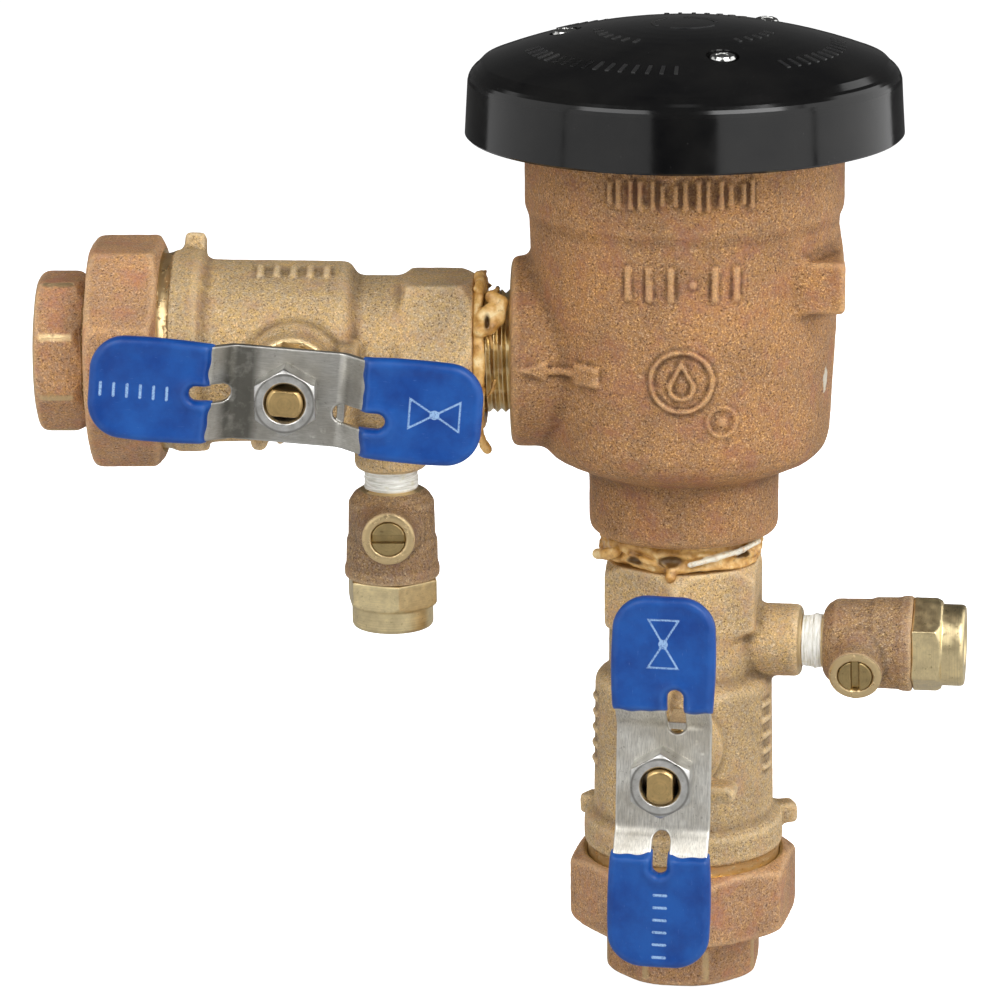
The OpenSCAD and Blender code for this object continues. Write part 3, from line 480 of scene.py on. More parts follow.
def plastic(name, base, rough, bump=0.03, scale=2.0, coat=0.0):
    m = Mat(name, Coat_Weight=coat, Coat_Roughness=0.04)
    n = m.noise(0.2, 3.0, 0.5)
    m.into("Base Color", m.mix(n, tuple(v * 0.86 for v in base), tuple(min(1.0, v * 1.12) for v in base)))
    f = m.noise(scale, 3.0, 0.6)
    m.into("Roughness", m.range(f, 0.3, 0.7, rough * 0.85, rough * 1.2))
    m.into("Normal", m.bump(f, bump, 0.5))
    return m.m

def glossy_black(name, worn=0.0):
    """Moulded black canopy: deep gloss, faint orange peel, dust and fine rubs."""
    m = Mat(name, Specular_IOR_Level=0.34 + 0.3 * worn)
    dust = m.ramp(m.voronoi(0.33), [(0.0, 1.0), (0.045, 0.0)])
    dust = m.math("MULTIPLY", dust, m.ramp(m.noise(0.07, 2.0, 0.5), [(0.44, 0.0), (0.6, 1.0)]))
    haze = m.noise(0.05, 4.0, 0.6)
    scr = m.ramp(m.noise(1.0, 5.0, 0.75, m.vmath("MULTIPLY", m.pos, (0.35, 2.6, 1.0))), [(0.66, 0.0), (0.74, 0.4)])
    base = m.mix(m.range(haze, 0.35, 0.65, 0.0, 1.0), tuple(v * (1 + 2.2 * worn) for v in (0.0032, 0.0032, 0.0035)), tuple(v * (1 + 2.2 * worn) for v in (0.0075, 0.0073, 0.007)))
    base = m.mix(m.math("MULTIPLY", dust, 0.8), base, (0.16, 0.16, 0.155))
    m.into("Base Color", base)
    m.into("Roughness", m.math("ADD", m.math("ADD", m.range(haze, 0.35, 0.65, 0.10 + 0.30 * worn, 0.17 + 0.34 * worn), m.math("MULTIPLY", scr, 0.22)), m.math("MULTIPLY", dust, 0.4)))
    m.into("Normal", m.bump(m.noise(0.22, 2.0, 0.5), 0.035, 0.5, m.bump(dust, 0.05, 0.5)))
    return m.m

def vinyl(name, frame, seed):
    """Dipped blue vinyl. The pale print is an arrow bar and a broken line, in the lever's own plane."""
    m = Mat(name, Specular_IOR_Level=0.36)
    loc, c = m.local(frame)
    n = m.noise(0.12, 4.0, 0.6, m.vmath("ADD", m.pos, (seed, 3, seed)))
    base = m.mix(m.ramp(n, [(0.34, 0.0), (0.66, 1.0)]), srgb(2, 54, 126), srgb(8, 73, 148))
    # painted highlight: convex edges of the vinyl lightened pale blue
    rim = m.attr("curv")
    base = m.mix(m.range(rim, 0.12, 0.8, 0.0, 0.30), base, srgb(84, 124, 188))
    # fine scratches and lint
    s1 = m.noise(1.0, 4.0, 0.7, m.combine(m.math("MULTIPLY", c[0], 2.2), m.math("MULTIPLY", c[1], 0.28), 0.0))
    base = m.mix(m.ramp(s1, [(0.64, 0.0), (0.72, 0.20)]), base, srgb(120, 156, 206))
    ink = m.attr("ink")
    ik = m.math("MULTIPLY", m.ramp(ink, [(0.42, 0.0), (0.58, 1.0)]), m.ramp(m.noise(2.2, 3.0, 0.6), [(0.34, 0.30), (0.52, 0.80)]))
    base = m.mix(ik, base, srgb(150, 182, 216))
    m.into("Base Color", base)
    m.into("Roughness", m.math("ADD", m.range(n, 0.3, 0.7, 0.36, 0.46), m.math("MULTIPLY", ik, 0.1)))
    m.into("Normal", m.bump(m.noise(0.5, 3.0, 0.55), 0.10, 0.6, m.bump(m.noise(2.6, 2.0, 0.5), 0.012, 0.5)))
    return m.m

def compound(name, seed):
    """Thread sealing compound, half set: amber where thick, chalky where thin."""
    m = Mat(name, Coat_Weight=0.15, Coat_Roughness=0.3)
    p = m.vmath("ADD", m.pos, (seed, 0, 0))
    n = m.noise(0.26, 3.0, 0.6, p)
    base = m.ramp(n, [(0.28, srgb(136, 92, 38)), (0.42, srgb(184, 134, 66)), (0.56, srgb(212, 168, 98)), (0.72, srgb(232, 206, 152))])
    s = m.ramp(m.noise(0.7, 3.0, 0.6, p), [(0.30, 0.45), (0.40, 0.0)])
    base = m.mix(s, base, srgb(112, 74, 32))
    # painted shade: the pockets, and on the outlet patches next to the thread, darkened brown
    base = m.mix(m.range(m.attr("deep"), 0.1, 0.9, 0.0, 0.9), base, srgb(70, 44, 22))
    tape = m.math("MULTIPLY", m.attr("pale"), m.ramp(m.noise(0.9, 3.0, 0.6, p), [(0.30, 0.35), (0.5, 1.0)]))
    base = m.mix(tape, base, srgb(228, 226, 212))
    m.into("Base Color", base)
    m.into("Roughness", m.range(n, 0.3, 0.7, 0.30, 0.50))
    m.into("Normal", m.bump(m.noise(0.8, 3.0, 0.6, p), 0.22, 0.7))
    return m.m

def ptfe_tape(name, frame):
    m = Mat(name, Subsurface_Weight=0.0)
    loc, c = m.local(frame)
    w = m.noise(1.0, 3.0, 0.6, m.combine(m.math("MULTIPLY", c[0], 0.25), m.math("MULTIPLY", c[1], 0.25), m.math("MULTIPLY", c[2], 2.4)))
    n = m.noise(0.4, 3.0, 0.6)
    base = m.mix(m.ramp(w, [(0.36, 0.0), (0.6, 1.0)]), srgb(208, 208, 198), srgb(247, 248, 243))
    base = m.mix(m.ramp(n, [(0.58, 0.0), (0.72, 0.5)]), base, srgb(206, 204, 166))
    m.into("Base Color", base)
    m.into("Roughness", m.range(n, 0.3, 0.7, 0.36, 0.56))
    m.into("Normal", m.bump(w, 0.14, 0.9))
    return m.m

I3 = Matrix.Identity(4)
BRASS_MAIN = turned("turned_brass", (0.70, 0.51, 0.24), I3, 0.26)
RUBBER = plastic("rubber", (0.02, 0.02, 0.02), 0.55)
PTFE = plastic("ptfe", (0.78, 0.78, 0.75), 0.45)
ACETAL = plastic("acetal", (0.66, 0.66, 0.63), 0.4)
SPRING = plain_metal("spring_steel", (0.55, 0.55, 0.55), 0.3)
CHROME = plain_metal("ball_steel", (0.75, 0.75, 0.75), 0.12)
STAIN = plain_metal("stainless", (0.66, 0.66, 0.64), 0.22)
BLACK = glossy_black("black_plastic")
BLACK_WORN = glossy_black("black_plastic_marks", 1.0)
SLOT_MAT = {"cast_bronze": BRONZE_MAIN, "machined_brass": BRASS_MAIN, "stainless": STAIN, "zinc_nut": STAIN, "blue_vinyl": RUBBER,
            "black_plastic": BLACK, "rubber": RUBBER, "ptfe": PTFE, "thread_tape": PTFE, "acetal": ACETAL, "sealant": PTFE,
            "spring_steel": SPRING, "ball_steel": CHROME}
for n, o in NODES.items():
    o.data.materials.clear()
    o.data.materials.append(SLOT_MAT[SLOT_OF[n]])

# ---------------------------------------------------------------- the main body
def front_cyl(fn, rad):
    """A raised mark on the front of the body: fn takes the arc length and the height."""
    def f(p):
        r = np.hypot(p[:, 0], p[:, 1])
        u = rad * np.arctan2(p[:, 0], -p[:, 1])
        return np.where((r > rad - 5) & (p[:, 1] < 0), fn(u, p[:, 2]), 0.0)
    return f

def body_marks():
    def plate(u, z):      # a row of paired upright bars
        d = np.full(len(u), 9.0)
        for k in range(7):
            for o in (-1.25, 1.25):
                d = np.minimum(d, sd_box(u, z, -1.0 + (k - 3) * 6.0 + o, 228.0, 0.62, 4.0 if (k + (o > 0)) % 3 else 2.9, 0.5))
        return 0.9 * soft(d, 0.33)
    def tally(u, z):      # a row of plain bars
        d = np.full(len(u), 9.0)
        for k, hgt in enumerate((4.7, 4.7, 4.7, 0.9, 4.7, 4.7)):
            d = np.minimum(d, sd_box(u, z, -0.6 + (k - 2.5) * 5.8, 203.6, 0.85, hgt, 0.7))
        return 0.8 * soft(d, 0.33)
    def drop(u, z):       # a water drop in a ring
        d = np.abs(np.hypot(u + 0.7, (z - 177.2)) - 8.2) - 0.5
        y = z - 175.6
        body_d = np.hypot(u + 0.7, y) - 3.1
        tip = np.maximum(np.abs(u + 0.7) * 0.88 + (y - 6.6) * 0.47, -y + 0.8)
        dd = np.minimum(body_d, tip)
        d = np.minimum(d, np.abs(dd) - 0.42)
        return 0.75 * soft(d, 0.33)
    def disc(u, z):       # mould vent mark
        r = np.hypot(u - 10.2, z - 166.0)
        return 0.5 * soft(np.abs(r - 4.0) - 0.38, 0.33) + 0.45 * soft(r - 1.3, 0.35)
    def arrow(p):         # way the water goes, out over the outlet's boss
        x, z = p[:, 0], p[:, 2] - 176.8
        head = np.maximum(np.abs(z) * 0.944 - (x + 44.6) * 0.331, x + 36.6)
        d = np.minimum(head, sd_box(x, z, -33.2, 0.0, 4.2, 1.0, 0.2))
        d = np.minimum(d, sd_box(x, z, -26.2, 0.0, 3.3, 2.8, 0.3))
        return np.where(p[:, 1] < -14, 0.55 * soft(d, 0.35), 0.0)
    box = lambda z0, z1: ((-27, -46, z0), (27, -28, z1))
    out = []
    for (z0, z1), fn, rad in (((222, 234), plate, 43.1), ((198, 209), tally, 41.6), ((166.5, 187.5), drop, 40.8), ((159, 173), disc, 40.3)):
        out.append((box(z0, z1)[0], box(z0, z1)[1], front_cyl(fn, rad)))
    out.append(((-47, -42, 172), (-21, -16, 182), arrow))
    return out

def body_masks(p, n):
    r = np.hypot(p[:, 0], p[:, 1])
    ro = np.hypot(p[:, 1], p[:, 2] - OUTLET_Z * 1000)
    z = p[:, 2]
    m = smooth(127.1, 126.6, z) + smooth(-46.2, -46.7, p[:, 0]) * (ro < 27)          # the two machined faces
    m = m + (r < 36.5) * (z > 150) * (np.abs(p[:, 0]) < 38) * 1.0 + smooth(235.5, 235.9, z)
    m = m + (ro < 18) * (p[:, 0] < -30) * 1.0 + (r < 18) * (z < 150) * 1.0
    return {"machined": np.clip(m, 0, 1)}

casting("body_casting", "body", BRONZE_MAIN, 0.72, 1.2, 0.6, 170000, body_marks(), 0.16, 2, body_masks, 1, 0.5)

# ---------------------------------------------------------------- the two ball valves
def local_mark(v, fn):
    return lambda p: fn(to_local(p, v))

for side, (V, tilt, turn) in VALVES.items():
    L = lambda p, V=V: to_local(p, V)
    def valve_masks(p, n, V=V):
        q = to_local(p, V)
        r = np.hypot(q[:, 0], q[:, 1]); u = q[:, 2]
        sr = np.hypot(q[:, 0], u - 71.0); cr = np.hypot(q[:, 1], u - 95.2)
        m = (u < 37.2) * 1.0 + smooth(118.4, 118.8, u) * (r < 21.5) + (r < 17.5) * 1.0
        m = m + (sr < 12.2) * smooth(-33.0, -33.6, q[:, 1]) + (sr < 9) * (q[:, 1] < -20)
        m = m + (cr < 10.2) * smooth(31.9, 32.5, q[:, 0]) + (cr < 7.4) * (q[:, 0] > 20)
        return {"machined": np.clip(m, 0, 1)}
    def side_bars(q, V=V):
        """Plain raised bars on both flanks of the chamber, where the mould carries its marks."""
        u, r = q[:, 2], np.hypot(q[:, 0], q[:, 1])
        a = np.degrees(np.arctan2(q[:, 0], -q[:, 1]))       # 0 at the stem side
        d = np.full(len(q), 9.0)
        for c0 in (74.0, -74.0):
            v = (a - c0) * math.radians(1) * 24.6
            for k in range(5):
                d = np.minimum(d, sd_box(u, v, 61.0 + k * 4.5, 0.0, 0.8, 3.0, 0.6))
        return np.where((r > 22) & (u > 48) & (u < 82), 0.8 * soft(d), 0.0)
    # the marks' boxes in the row frame
    c = np.array([[x, y, z] for x in (-27, 27) for y in (-27, 27) for z in (47, 83)], float)
    w = to_world(c, V)
    casting(side + "_valve_casting", side + "_valve_body", BRONZE_VALVE, 0.56, 1.0, 0.45, 110000,
            [(w.min(0), w.max(0), local_mark(V, side_bars))], 0.12, 2, valve_masks, 11 if side == "inlet" else 12)

    def nut_masks(p, n, V=V):
        q = to_local(p, V); r = np.hypot(q[:, 0], q[:, 1]); u = q[:, 2]
        m = (r < 27.75) * smooth(19.0, 19.6, u) + smooth(21.6, 21.2, r)
        return {"machined": np.clip(m, 0, 1)}
    casting(side + "_nut_casting", side + "_union_nut", BRONZE_NUT, 0.55, 0.8, 0.7, 60000, (), 0.14, 3, nut_masks, 21 if side == "inlet" else 22)

    def tail_masks(p, n, V=V):
        q = to_local(p, V); r = np.hypot(q[:, 0], q[:, 1]); u = q[:, 2]
        jag = 0.10 * vnoise(q, 0.8, 5)
        corner = 0.75 * smooth(21.8, 22.1, r + jag) * (u < 12.4)      # octagon corners skimmed on the lathe
        m = corner + smooth(0.55, 0.25, u) * (r > 14) * 0.8 + (r < 15.4) + (u > 13.2)
        return {"machined": np.clip(m, 0, 1)}
    casting(side + "_tail_casting", side + "_tailpiece", BRONZE_NUT, 0.5, 0.5, 0.3, 60000, (), 0.07, 2, tail_masks, 31 if side == "inlet" else 32)

    C = cock_m(V, turn)
    def cock_masks(p, n, C=C):
        q = to_local(p, C); r = np.hypot(q[:, 0], q[:, 1]); w_ = q[:, 2]
        sr = np.hypot(q[:, 0], w_ - 48.5)
        m = (w_ < 38.9) * 1.0 + smooth(-17.2, -17.6, q[:, 1]) * (sr < 7.5) + (r < 7.6) + (sr < 5.7) * (q[:, 1] < -8)
        return {"machined": np.clip(m, 0, 1)}
    casting(side + "_cock_casting", side + "_cock_body", BRONZE_COCK, 0.36, 0.7, 0.35, 50000,
            (), 0.09, 2, cock_masks, 41 if side == "inlet" else 42)

# ---------------------------------------------------------------- small solids from distance fields
def volume(fn, lo, hi, h, steps=2):
    """Points and outward quads of the surface fn = 0, with fn of (x, y, z) grids in millimetres."""
    i0 = np.floor(np.array(lo) / h).astype(int) - 2
    i1 = np.ceil(np.array(hi) / h).astype(int) + 3
    gx, gy, gz = np.meshgrid(*[np.arange(i0[k], i1[k]) * h for k in range(3)], indexing="ij")
    d = fn(gx, gy, gz).astype(np.float32)
    g = vdb.FloatGrid(background=4 * h)
    g.copyFromArray(np.clip(d, -4 * h, 4 * h), ijk=tuple(int(v) for v in i0))
    g.transform = vdb.createLinearTransform(voxelSize=h)
    p, q = g.convertToQuads(isovalue=0.0)
    p = p.astype(float); q = oriented(p, q)
    return (taubin(p, q, steps) if steps else p), q

def rounded(a, b, r):
    a, b = a + r, b + r
    return np.minimum(np.maximum(a, b), 0) + np.hypot(np.maximum(a, 0), np.maximum(b, 0)) - r
def smin(a, b, k):
    t = np.clip(0.5 + 0.5 * (b - a) / k, 0, 1)
    return b * (1 - t) + a * t - k * t * (1 - t)

def sp(x, w=1.6): return np.where(x < -w, 0, np.where(x > w, x, (x + w) ** 2 / (4 * w)))
def lever_z(y): return 50.6 + (sp(np.abs(y) - 14.6) - sp(np.abs(y) - 21.2)) * (6 / 6.6)
def lever_cos(y):
    e = 0.05
    s = (lever_z(y + e) - lever_z(y - e)) / (2 * e)
    return 1 / np.sqrt(1 + s * s)

def grid_noise(x, y, z, f, seed):
    return vnoise(np.stack([x.ravel(), y.ravel(), z.ravel()], 1), f, seed).reshape(x.shape)

def lever_field(seed):
    def fn(x, y, z):
        d2 = sd_box(x, y, 0, 0, 12.75, 50.7, 6.5)
        d2 = np.maximum(d2, -sd_seg(x, y, (3.4, 14.9), (3.4, 24.2), 2.6))
        d2 = np.maximum(d2, -sd_seg(x, y, (0, -17.2), (0, -23.35), 2.45))
        hole = np.maximum(np.hypot(x, y) - 4.95, np.abs(x) - 3.55)
        d2 = np.maximum(d2, -hole)
        zc = lever_z(y) + 0.12 * np.sin(x * 0.35 + seed) * smooth(10, 40, np.abs(y))
        dz = np.abs(z - zc) * lever_cos(y) - 1.0
        d = rounded(d2, dz, 0.32)
        # tongue bent down out of the longer slot, with its rounded root
        t = rounded(sd_box(x, z, 3.4, 44.7, 2.4, 6.1, 0.6), np.abs(y - 14.4) - 1.0, 0.3)
        d = smin(d, t, 0.8)
        # two plain inspection dots punched beside the nut
        for cx, cy in ((8.6, 10.2), (10.2, 7.4)):
            d = np.maximum(d, -(np.sqrt((x - cx) ** 2 + (y - cy) ** 2 + (z - 52.05) ** 2) - 0.75))
        return d
    return fn

def grip_field(sign, seed):
    """One dipped wing, the hexagon's end for sign +1."""
    sx, r_slot, y_end = (3.4, 2.15, 24.3) if sign > 0 else (0.0, 2.0, 23.4)
    def fn(x, y, z):
        v = y * sign
        inner = 19.6 + 0.35 * np.sin(x * 0.42 + seed) + 0.25 * np.cos(x * 1.1)
        d2 = sd_box(x, v, 0, 26.0, 13.95 - 0.006 * (v - 34.0) ** 2 * 0.5, 25.75, 8.6)
        d2 = np.maximum(d2, inner - v)
        slot = sd_seg(x, v, (sx, 10.0), (sx, y_end), r_slot)
        d2 = np.maximum(d2, -slot)
        edge = np.exp(-((d2 + 1.9) / 1.5) ** 2) * 0.30 + np.exp(-((slot - 1.3) / 1.0) ** 2) * 0.28
        wob = 0.10 * np.sin(x * 0.31 + v * 0.17 + seed) + 0.07 * np.sin(v * 0.45 - x * 0.2 + 2 * seed)
        half = 1.98 + edge + wob - 0.9 * smooth(21.5, 19.6, v)
        dz = np.abs(z - lever_z(y)) * lever_cos(y) - half
        return rounded(d2, dz, 1.55)
    return fn

def ink_of(sign, x, y):
    """Print on a wing: the flow-valve sign on one, a broken line on the other. Below 0 inside."""
    if sign > 0:
        u, v = x, y - 39.3                 # two triangles, point to point
        a = np.maximum(np.abs(u) * 0.83 - np.abs(v) * 0.50, np.abs(v) - 6.6)
        d = np.abs(a) - 0.24
        return np.minimum(d, np.hypot(u, v) - 1.25)
    d = np.full(len(x), 9.0)
    for k in range(6):
        d = np.minimum(d, sd_box(x, y, 0.4, -(31.0 + k * 3.5), 2.0, 0.36, 0.3))
    return d

for side, (V, tilt, turn) in VALVES.items():
    S = stem_m(V, tilt)
    s = 1.3 if side == "inlet" else 2.9
    p, q = volume(lever_field(s), (-13, -51, 38), (13, 51, 58), 0.3, 1)
    c = curvature(p, q, normals(p, q), 2)
    ob = make_object(side + "_lever_plate", to_world(p, S), q, {"curv": np.clip(c * 20, -1, 1)})
    decimate(ob, 60000)
    # painted light: the inlet plate's steel is painted 1.62 times lighter as a lit copy; the outlet plate gets the
    # painted nut shadow at 0.9
    stand_for(ob, side + "_lever", plate_steel("lever_steel_" + side, S, 4.0 if side == "inlet" else 23.0, 0.0 if side == "inlet" else 0.9, 1.62 if side == "inlet" else 1.0))
    pts, qs, ink, cv, off = [], [], [], [], 0
    for sign in (1, -1):
        p, q = volume(grip_field(sign, s * sign), (-14.6, 19 if sign > 0 else -52.2, 47), (14.6, 52.2 if sign > 0 else -19, 60), 0.38, 2)
        n = normals(p, q)
        d = ink_of(sign, p[:, 0], p[:, 1])
        i = np.where(n[:, 2] > 0.5, np.clip(0.5 - d / 1.2, 0, 1), 0.0)
        pts.append(p); qs.append(q + off); off += len(p); ink.append(i); cv.append(np.clip(curvature(p, q, n, 4) * 16, -1, 1))
    P, Q = np.concatenate(pts), np.concatenate(qs)
    ob = make_object(side + "_lever_vinyl", to_world(P, S), Q, {"ink": np.concatenate(ink), "curv": np.concatenate(cv)})
    stand_for(ob, side + "_lever_grips", vinyl("blue_vinyl_" + side, S, 2.0 if side == "inlet" else 31.0))

# ---------------------------------------------------------------- turned and milled pieces with broken edges
def machined(name, node, mat, h, r, target):
    p, q = soften(node, h, 0, r)
    q = oriented(p, q)
    p = taubin(p, q, 1)
    lo, hi = mesh_arrays(NODES[node].data)[0].min(0), mesh_arrays(NODES[node].data)[0].max(0)
    ob = make_object(name, np.clip(p, lo, hi), q, {"curv": np.clip(curvature(p, q, normals(p, q), 2) * 20, -1, 1)})
    decimate(ob, target)
    return stand_for(ob, node, mat)

for side, (V, tilt, turn) in VALVES.items():
    S0, C0 = stem_m(V), cock_m(V, turn)
    CS = C0 @ T(0, 0, 0.0485) @ R(90, "X")
    machined(side + "_nut_hex", side + "_lever_nut", zinc("zinc_nut_" + side, S0), 0.17, 0.3, 30000)
    machined(side + "_stem_turned", side + "_stem", turned("stem_brass_" + side, (0.66, 0.46, 0.20), S0, 0.30, (0.28, 0.18, 0.07), 2.2, 0.04), 0.22, 0.3, 24000)
    machined(side + "_gland_turned", side + "_packing_nut", turned("gland_brass_" + side, (0.62, 0.45, 0.21), S0, 0.30, (0.30, 0.20, 0.09)), 0.25, 0.3, 16000)
    machined(side + "_cock_end_turned", side + "_cock_end", turned("cock_brass_" + side, (0.92, 0.74, 0.42), C0, 0.30, (0.34, 0.24, 0.10), 2.6, 0.03), 0.24, 0.3, 40000)
    machined(side + "_cock_stem_turned", side + "_cock_stem", turned("plug_brass_" + side, (0.50, 0.37, 0.17), CS, 0.34, (0.20, 0.13, 0.06), 3.2, 0.05), 0.17, 0.2, 20000)
machined("canopy_screw_heads", "canopy_screws", plain_metal("screw_steel", (0.72, 0.72, 0.70), 0.16), 0.14, 0.18, 40000)

# ---------------------------------------------------------------- nipples with a real thread
def nipple(node, V, z0, z1, seed):
    R0, depth, pitch, bore = 16.7, 0.85, 2.209, 13.3
    nt, per = 220, 16
    zs = np.arange(z0, z1, pitch / per)
    zs = np.append(zs[zs < z1 - 0.02], z1)
    th = np.linspace(0, 2 * np.pi, nt, endpoint=False)
    zz, tt = np.meshgrid(zs, th, indexing="ij")
    ph = (zz / pitch - tt / (2 * np.pi)) % 1.0
    prof = np.clip((np.abs(ph - 0.5) - 0.06) / 0.38, 0, 1)            # 0 on the crest, 1 in the root
    fade = smooth(z0, z0 + 1.2, zz) * smooth(z1, z1 - 1.2, zz)
    rr = R0 - 0.02 - depth * prof - 0.7 * (1 - fade)
    outer = np.stack([rr * np.cos(tt), rr * np.sin(tt), zz], -1).reshape(-1, 3)
    inner = np.stack([bore * np.cos(tt), bore * np.sin(tt), zz], -1).reshape(-1, 3)
    n, m = len(zs), nt
    idx = np.arange(n * m).reshape(n, m)
    a, b = idx[:-1], idx[1:]
    a2, b2 = np.roll(a, -1, 1), np.roll(b, -1, 1)
    qo = np.stack([a, a2, b2, b], -1).reshape(-1, 4)
    k = n * m
    qi = np.stack([a + k, b + k, b2 + k, a2 + k], -1).reshape(-1, 4)
    e0, e1 = idx[0], idx[-1]
    c0 = np.stack([e0, e0 + k, np.roll(e0, -1) + k, np.roll(e0, -1)], -1)
    c1 = np.stack([e1, np.roll(e1, -1), np.roll(e1, -1) + k, e1 + k], -1)
    ob = make_object(node + "_threaded", to_world(np.concatenate([outer, inner]), V), np.concatenate([qo, qi, c0, c1]))
    decimate(ob, 60000)
    stand_for(ob, node, turned("nipple_brass_" + str(seed), (0.93, 0.74, 0.42), V, 0.28, (0.34, 0.24, 0.10), 1.6, 0.03))
nipple("inlet_nipple", INLET, 104.0, 142.0, 1)
nipple("outlet_nipple", OUTLET, 104.0, 142.4, 2)

# ---------------------------------------------------------------- sealing compound, squeezed out and torn
def strands(rng, count, r0, r1, z0, z1, rad):
    """Short torn strings of compound lying round the joint: lists of capsules."""
    out = []
    for _ in range(count):
        a = rng.uniform(0, 2 * np.pi); span = rng.uniform(0.2, 0.75); k = 5
        za, zb = rng.uniform(z0, z1), rng.uniform(z0, z1)
        ra, rb = rng.uniform(r0, r1), rng.uniform(r0, r1)
        w = rng.uniform(*rad)
        pts = []
        for t in np.linspace(0, 1, k):
            r = ra + (rb - ra) * t + rng.uniform(-0.3, 0.3)
            pts.append((r * math.cos(a + span * t), r * math.sin(a + span * t), za + (zb - za) * t + rng.uniform(-0.35, 0.35)))
        for u, v in zip(pts, pts[1:]): out.append((np.array(u), np.array(v), w * rng.uniform(0.75, 1.2)))
    return out
def capsule(x, y, z, a, b, r):
    ab = b - a; L2 = max(float(ab @ ab), 1e-9)
    t = np.clip(((x - a[0]) * ab[0] + (y - a[1]) * ab[1] + (z - a[2]) * ab[2]) / L2, 0, 1)
    return np.sqrt((x - a[0] - ab[0] * t) ** 2 + (y - a[1] - ab[1] * t) ** 2 + (z - a[2] - ab[2] * t) ** 2) - r

def ball_at(x, y, z, c, r):
    """Ellipsoid distance, near enough close to its surface."""
    return (np.sqrt(((x - c[0]) / r[0]) ** 2 + ((y - c[1]) / r[1]) ** 2 + ((z - c[2]) / r[2]) ** 2) - 1) * min(r)

def chain(pts, w): return [(np.array(a, float), np.array(b, float), w) for a, b in zip(pts, pts[1:])]

# pockets left in the compound, in each joint's own frame, and the tail of thread tape under it
POCKETS = {"inlet": [((-11.8, -19.4, 121.4), (2.3, 3.0, 1.25)), ((-1.2, -22.2, 122.4), (3.4, 2.6, 1.5)), ((17.5, -13.0, 122.6), (2.0, 2.6, 1.1)), ((4.0, 21.8, 122.6), (4.0, 2.6, 1.4))],
           "outlet": [((-12.4, -19.4, 122.6), (1.6, 2.0, 0.6)), ((16.0, 10.0, 121.6), (2.0, 2.4, 1.2))]}
TAPE_TAIL = {"inlet": [(4.0, -21.8, 121.8), (10.6, -19.4, 123.2), (17.4, -14.2, 124.4), (21.2, -7.6, 125.2)], "outlet": [(9.0, 16.0, 121.6), (3.0, 18.5, 122.2)]}

def compound_field(kind):
    rng = np.random.default_rng(7 if kind == "inlet" else 19)
    if kind == "inlet":
        st = strands(rng, 11, 21.0, 22.4, 119.6, 125.4, (0.7, 1.3))
        st += chain([(-22.4, -11.8, 121.4), (-19.6, -14.6, 122.2), (-17.0, -16.4, 123.2)], 1.5)      # lump at the side
        st += chain([(-1.0, -20.6, 119.8), (-1.4, -21.8, 118.0)], 1.5)                                # run over the hexagon's corner
        st += chain([(-21.5, -4.0, 120.4), (-22.6, 3.0, 120.8)], 1.2)
        st += chain(TAPE_TAIL[kind], 0.75)
    else:
        st = strands(rng, 12, 19.4, 21.6, 119.4, 121.2, (0.6, 1.1)) + strands(rng, 7, 17.0, 18.2, 121.0, 126.0, (0.35, 0.6))
        # the drip at the foot of the joint, and the folded lump lying over the thread
        st += chain([(19.0, -9.6, 119.9), (22.4, -8.6, 120.4), (24.6, -7.8, 121.2)], 1.0) + chain([(24.6, -7.8, 121.2), (25.8, -7.4, 121.9)], 1.35)
        st += chain([(-10.0, -18.8, 120.8), (-10.8, -18.2, 123.2), (-13.0, -17.2, 125.4), (-16.6, -14.6, 126.2), (-18.0, -13.2, 123.8)], 1.9)
        st += chain([(-13.4, -17.0, 121.2), (-15.0, -15.8, 123.6)], 2.0) + chain(TAPE_TAIL[kind], 0.7)
    def fn(x, y, z):
        r = np.hypot(x, y)
        a = np.arctan2(y, x)
        n1 = grid_noise(x, y, z, 0.22, 3); n2 = grid_noise(x, y, z, 0.55, 5)
        if kind == "inlet":
            fold = 0.55 * np.sin(z * 1.5 + a * 1.6 + 2.2 * n1)
            rim = 21.3 + 0.5 * np.sin(a * 2.0 + 0.6) + 0.8 * n1 + 0.35 * n2 + fold + 0.5 * smooth(123.5, 126.4, z)
            low = 119.0 + 0.4 * np.sin(a * 5 + 1)
            d = rounded(np.maximum(16.4 - r, r - rim), np.maximum(low - z, z - 126.7), 1.1)
        else:
            top = 121.5 + 0.5 * n1 + 0.3 * n2 + 0.35 * np.sin(a * 3)
            rim = 21.2 + 0.45 * n1 + 0.25 * n2
            d = rounded(np.maximum(16.4 - r, r - rim), np.maximum(118.7 - z, z - top), 1.2)
        for A, B, w in st:
            d = smin(d, capsule(x, y, z, A, B, w), 0.8)
        for c, e in POCKETS[kind]:
            d = np.maximum(d, -ball_at(x, y, z, c, e))
        return np.maximum(d, 16.3 - r)
    return fn

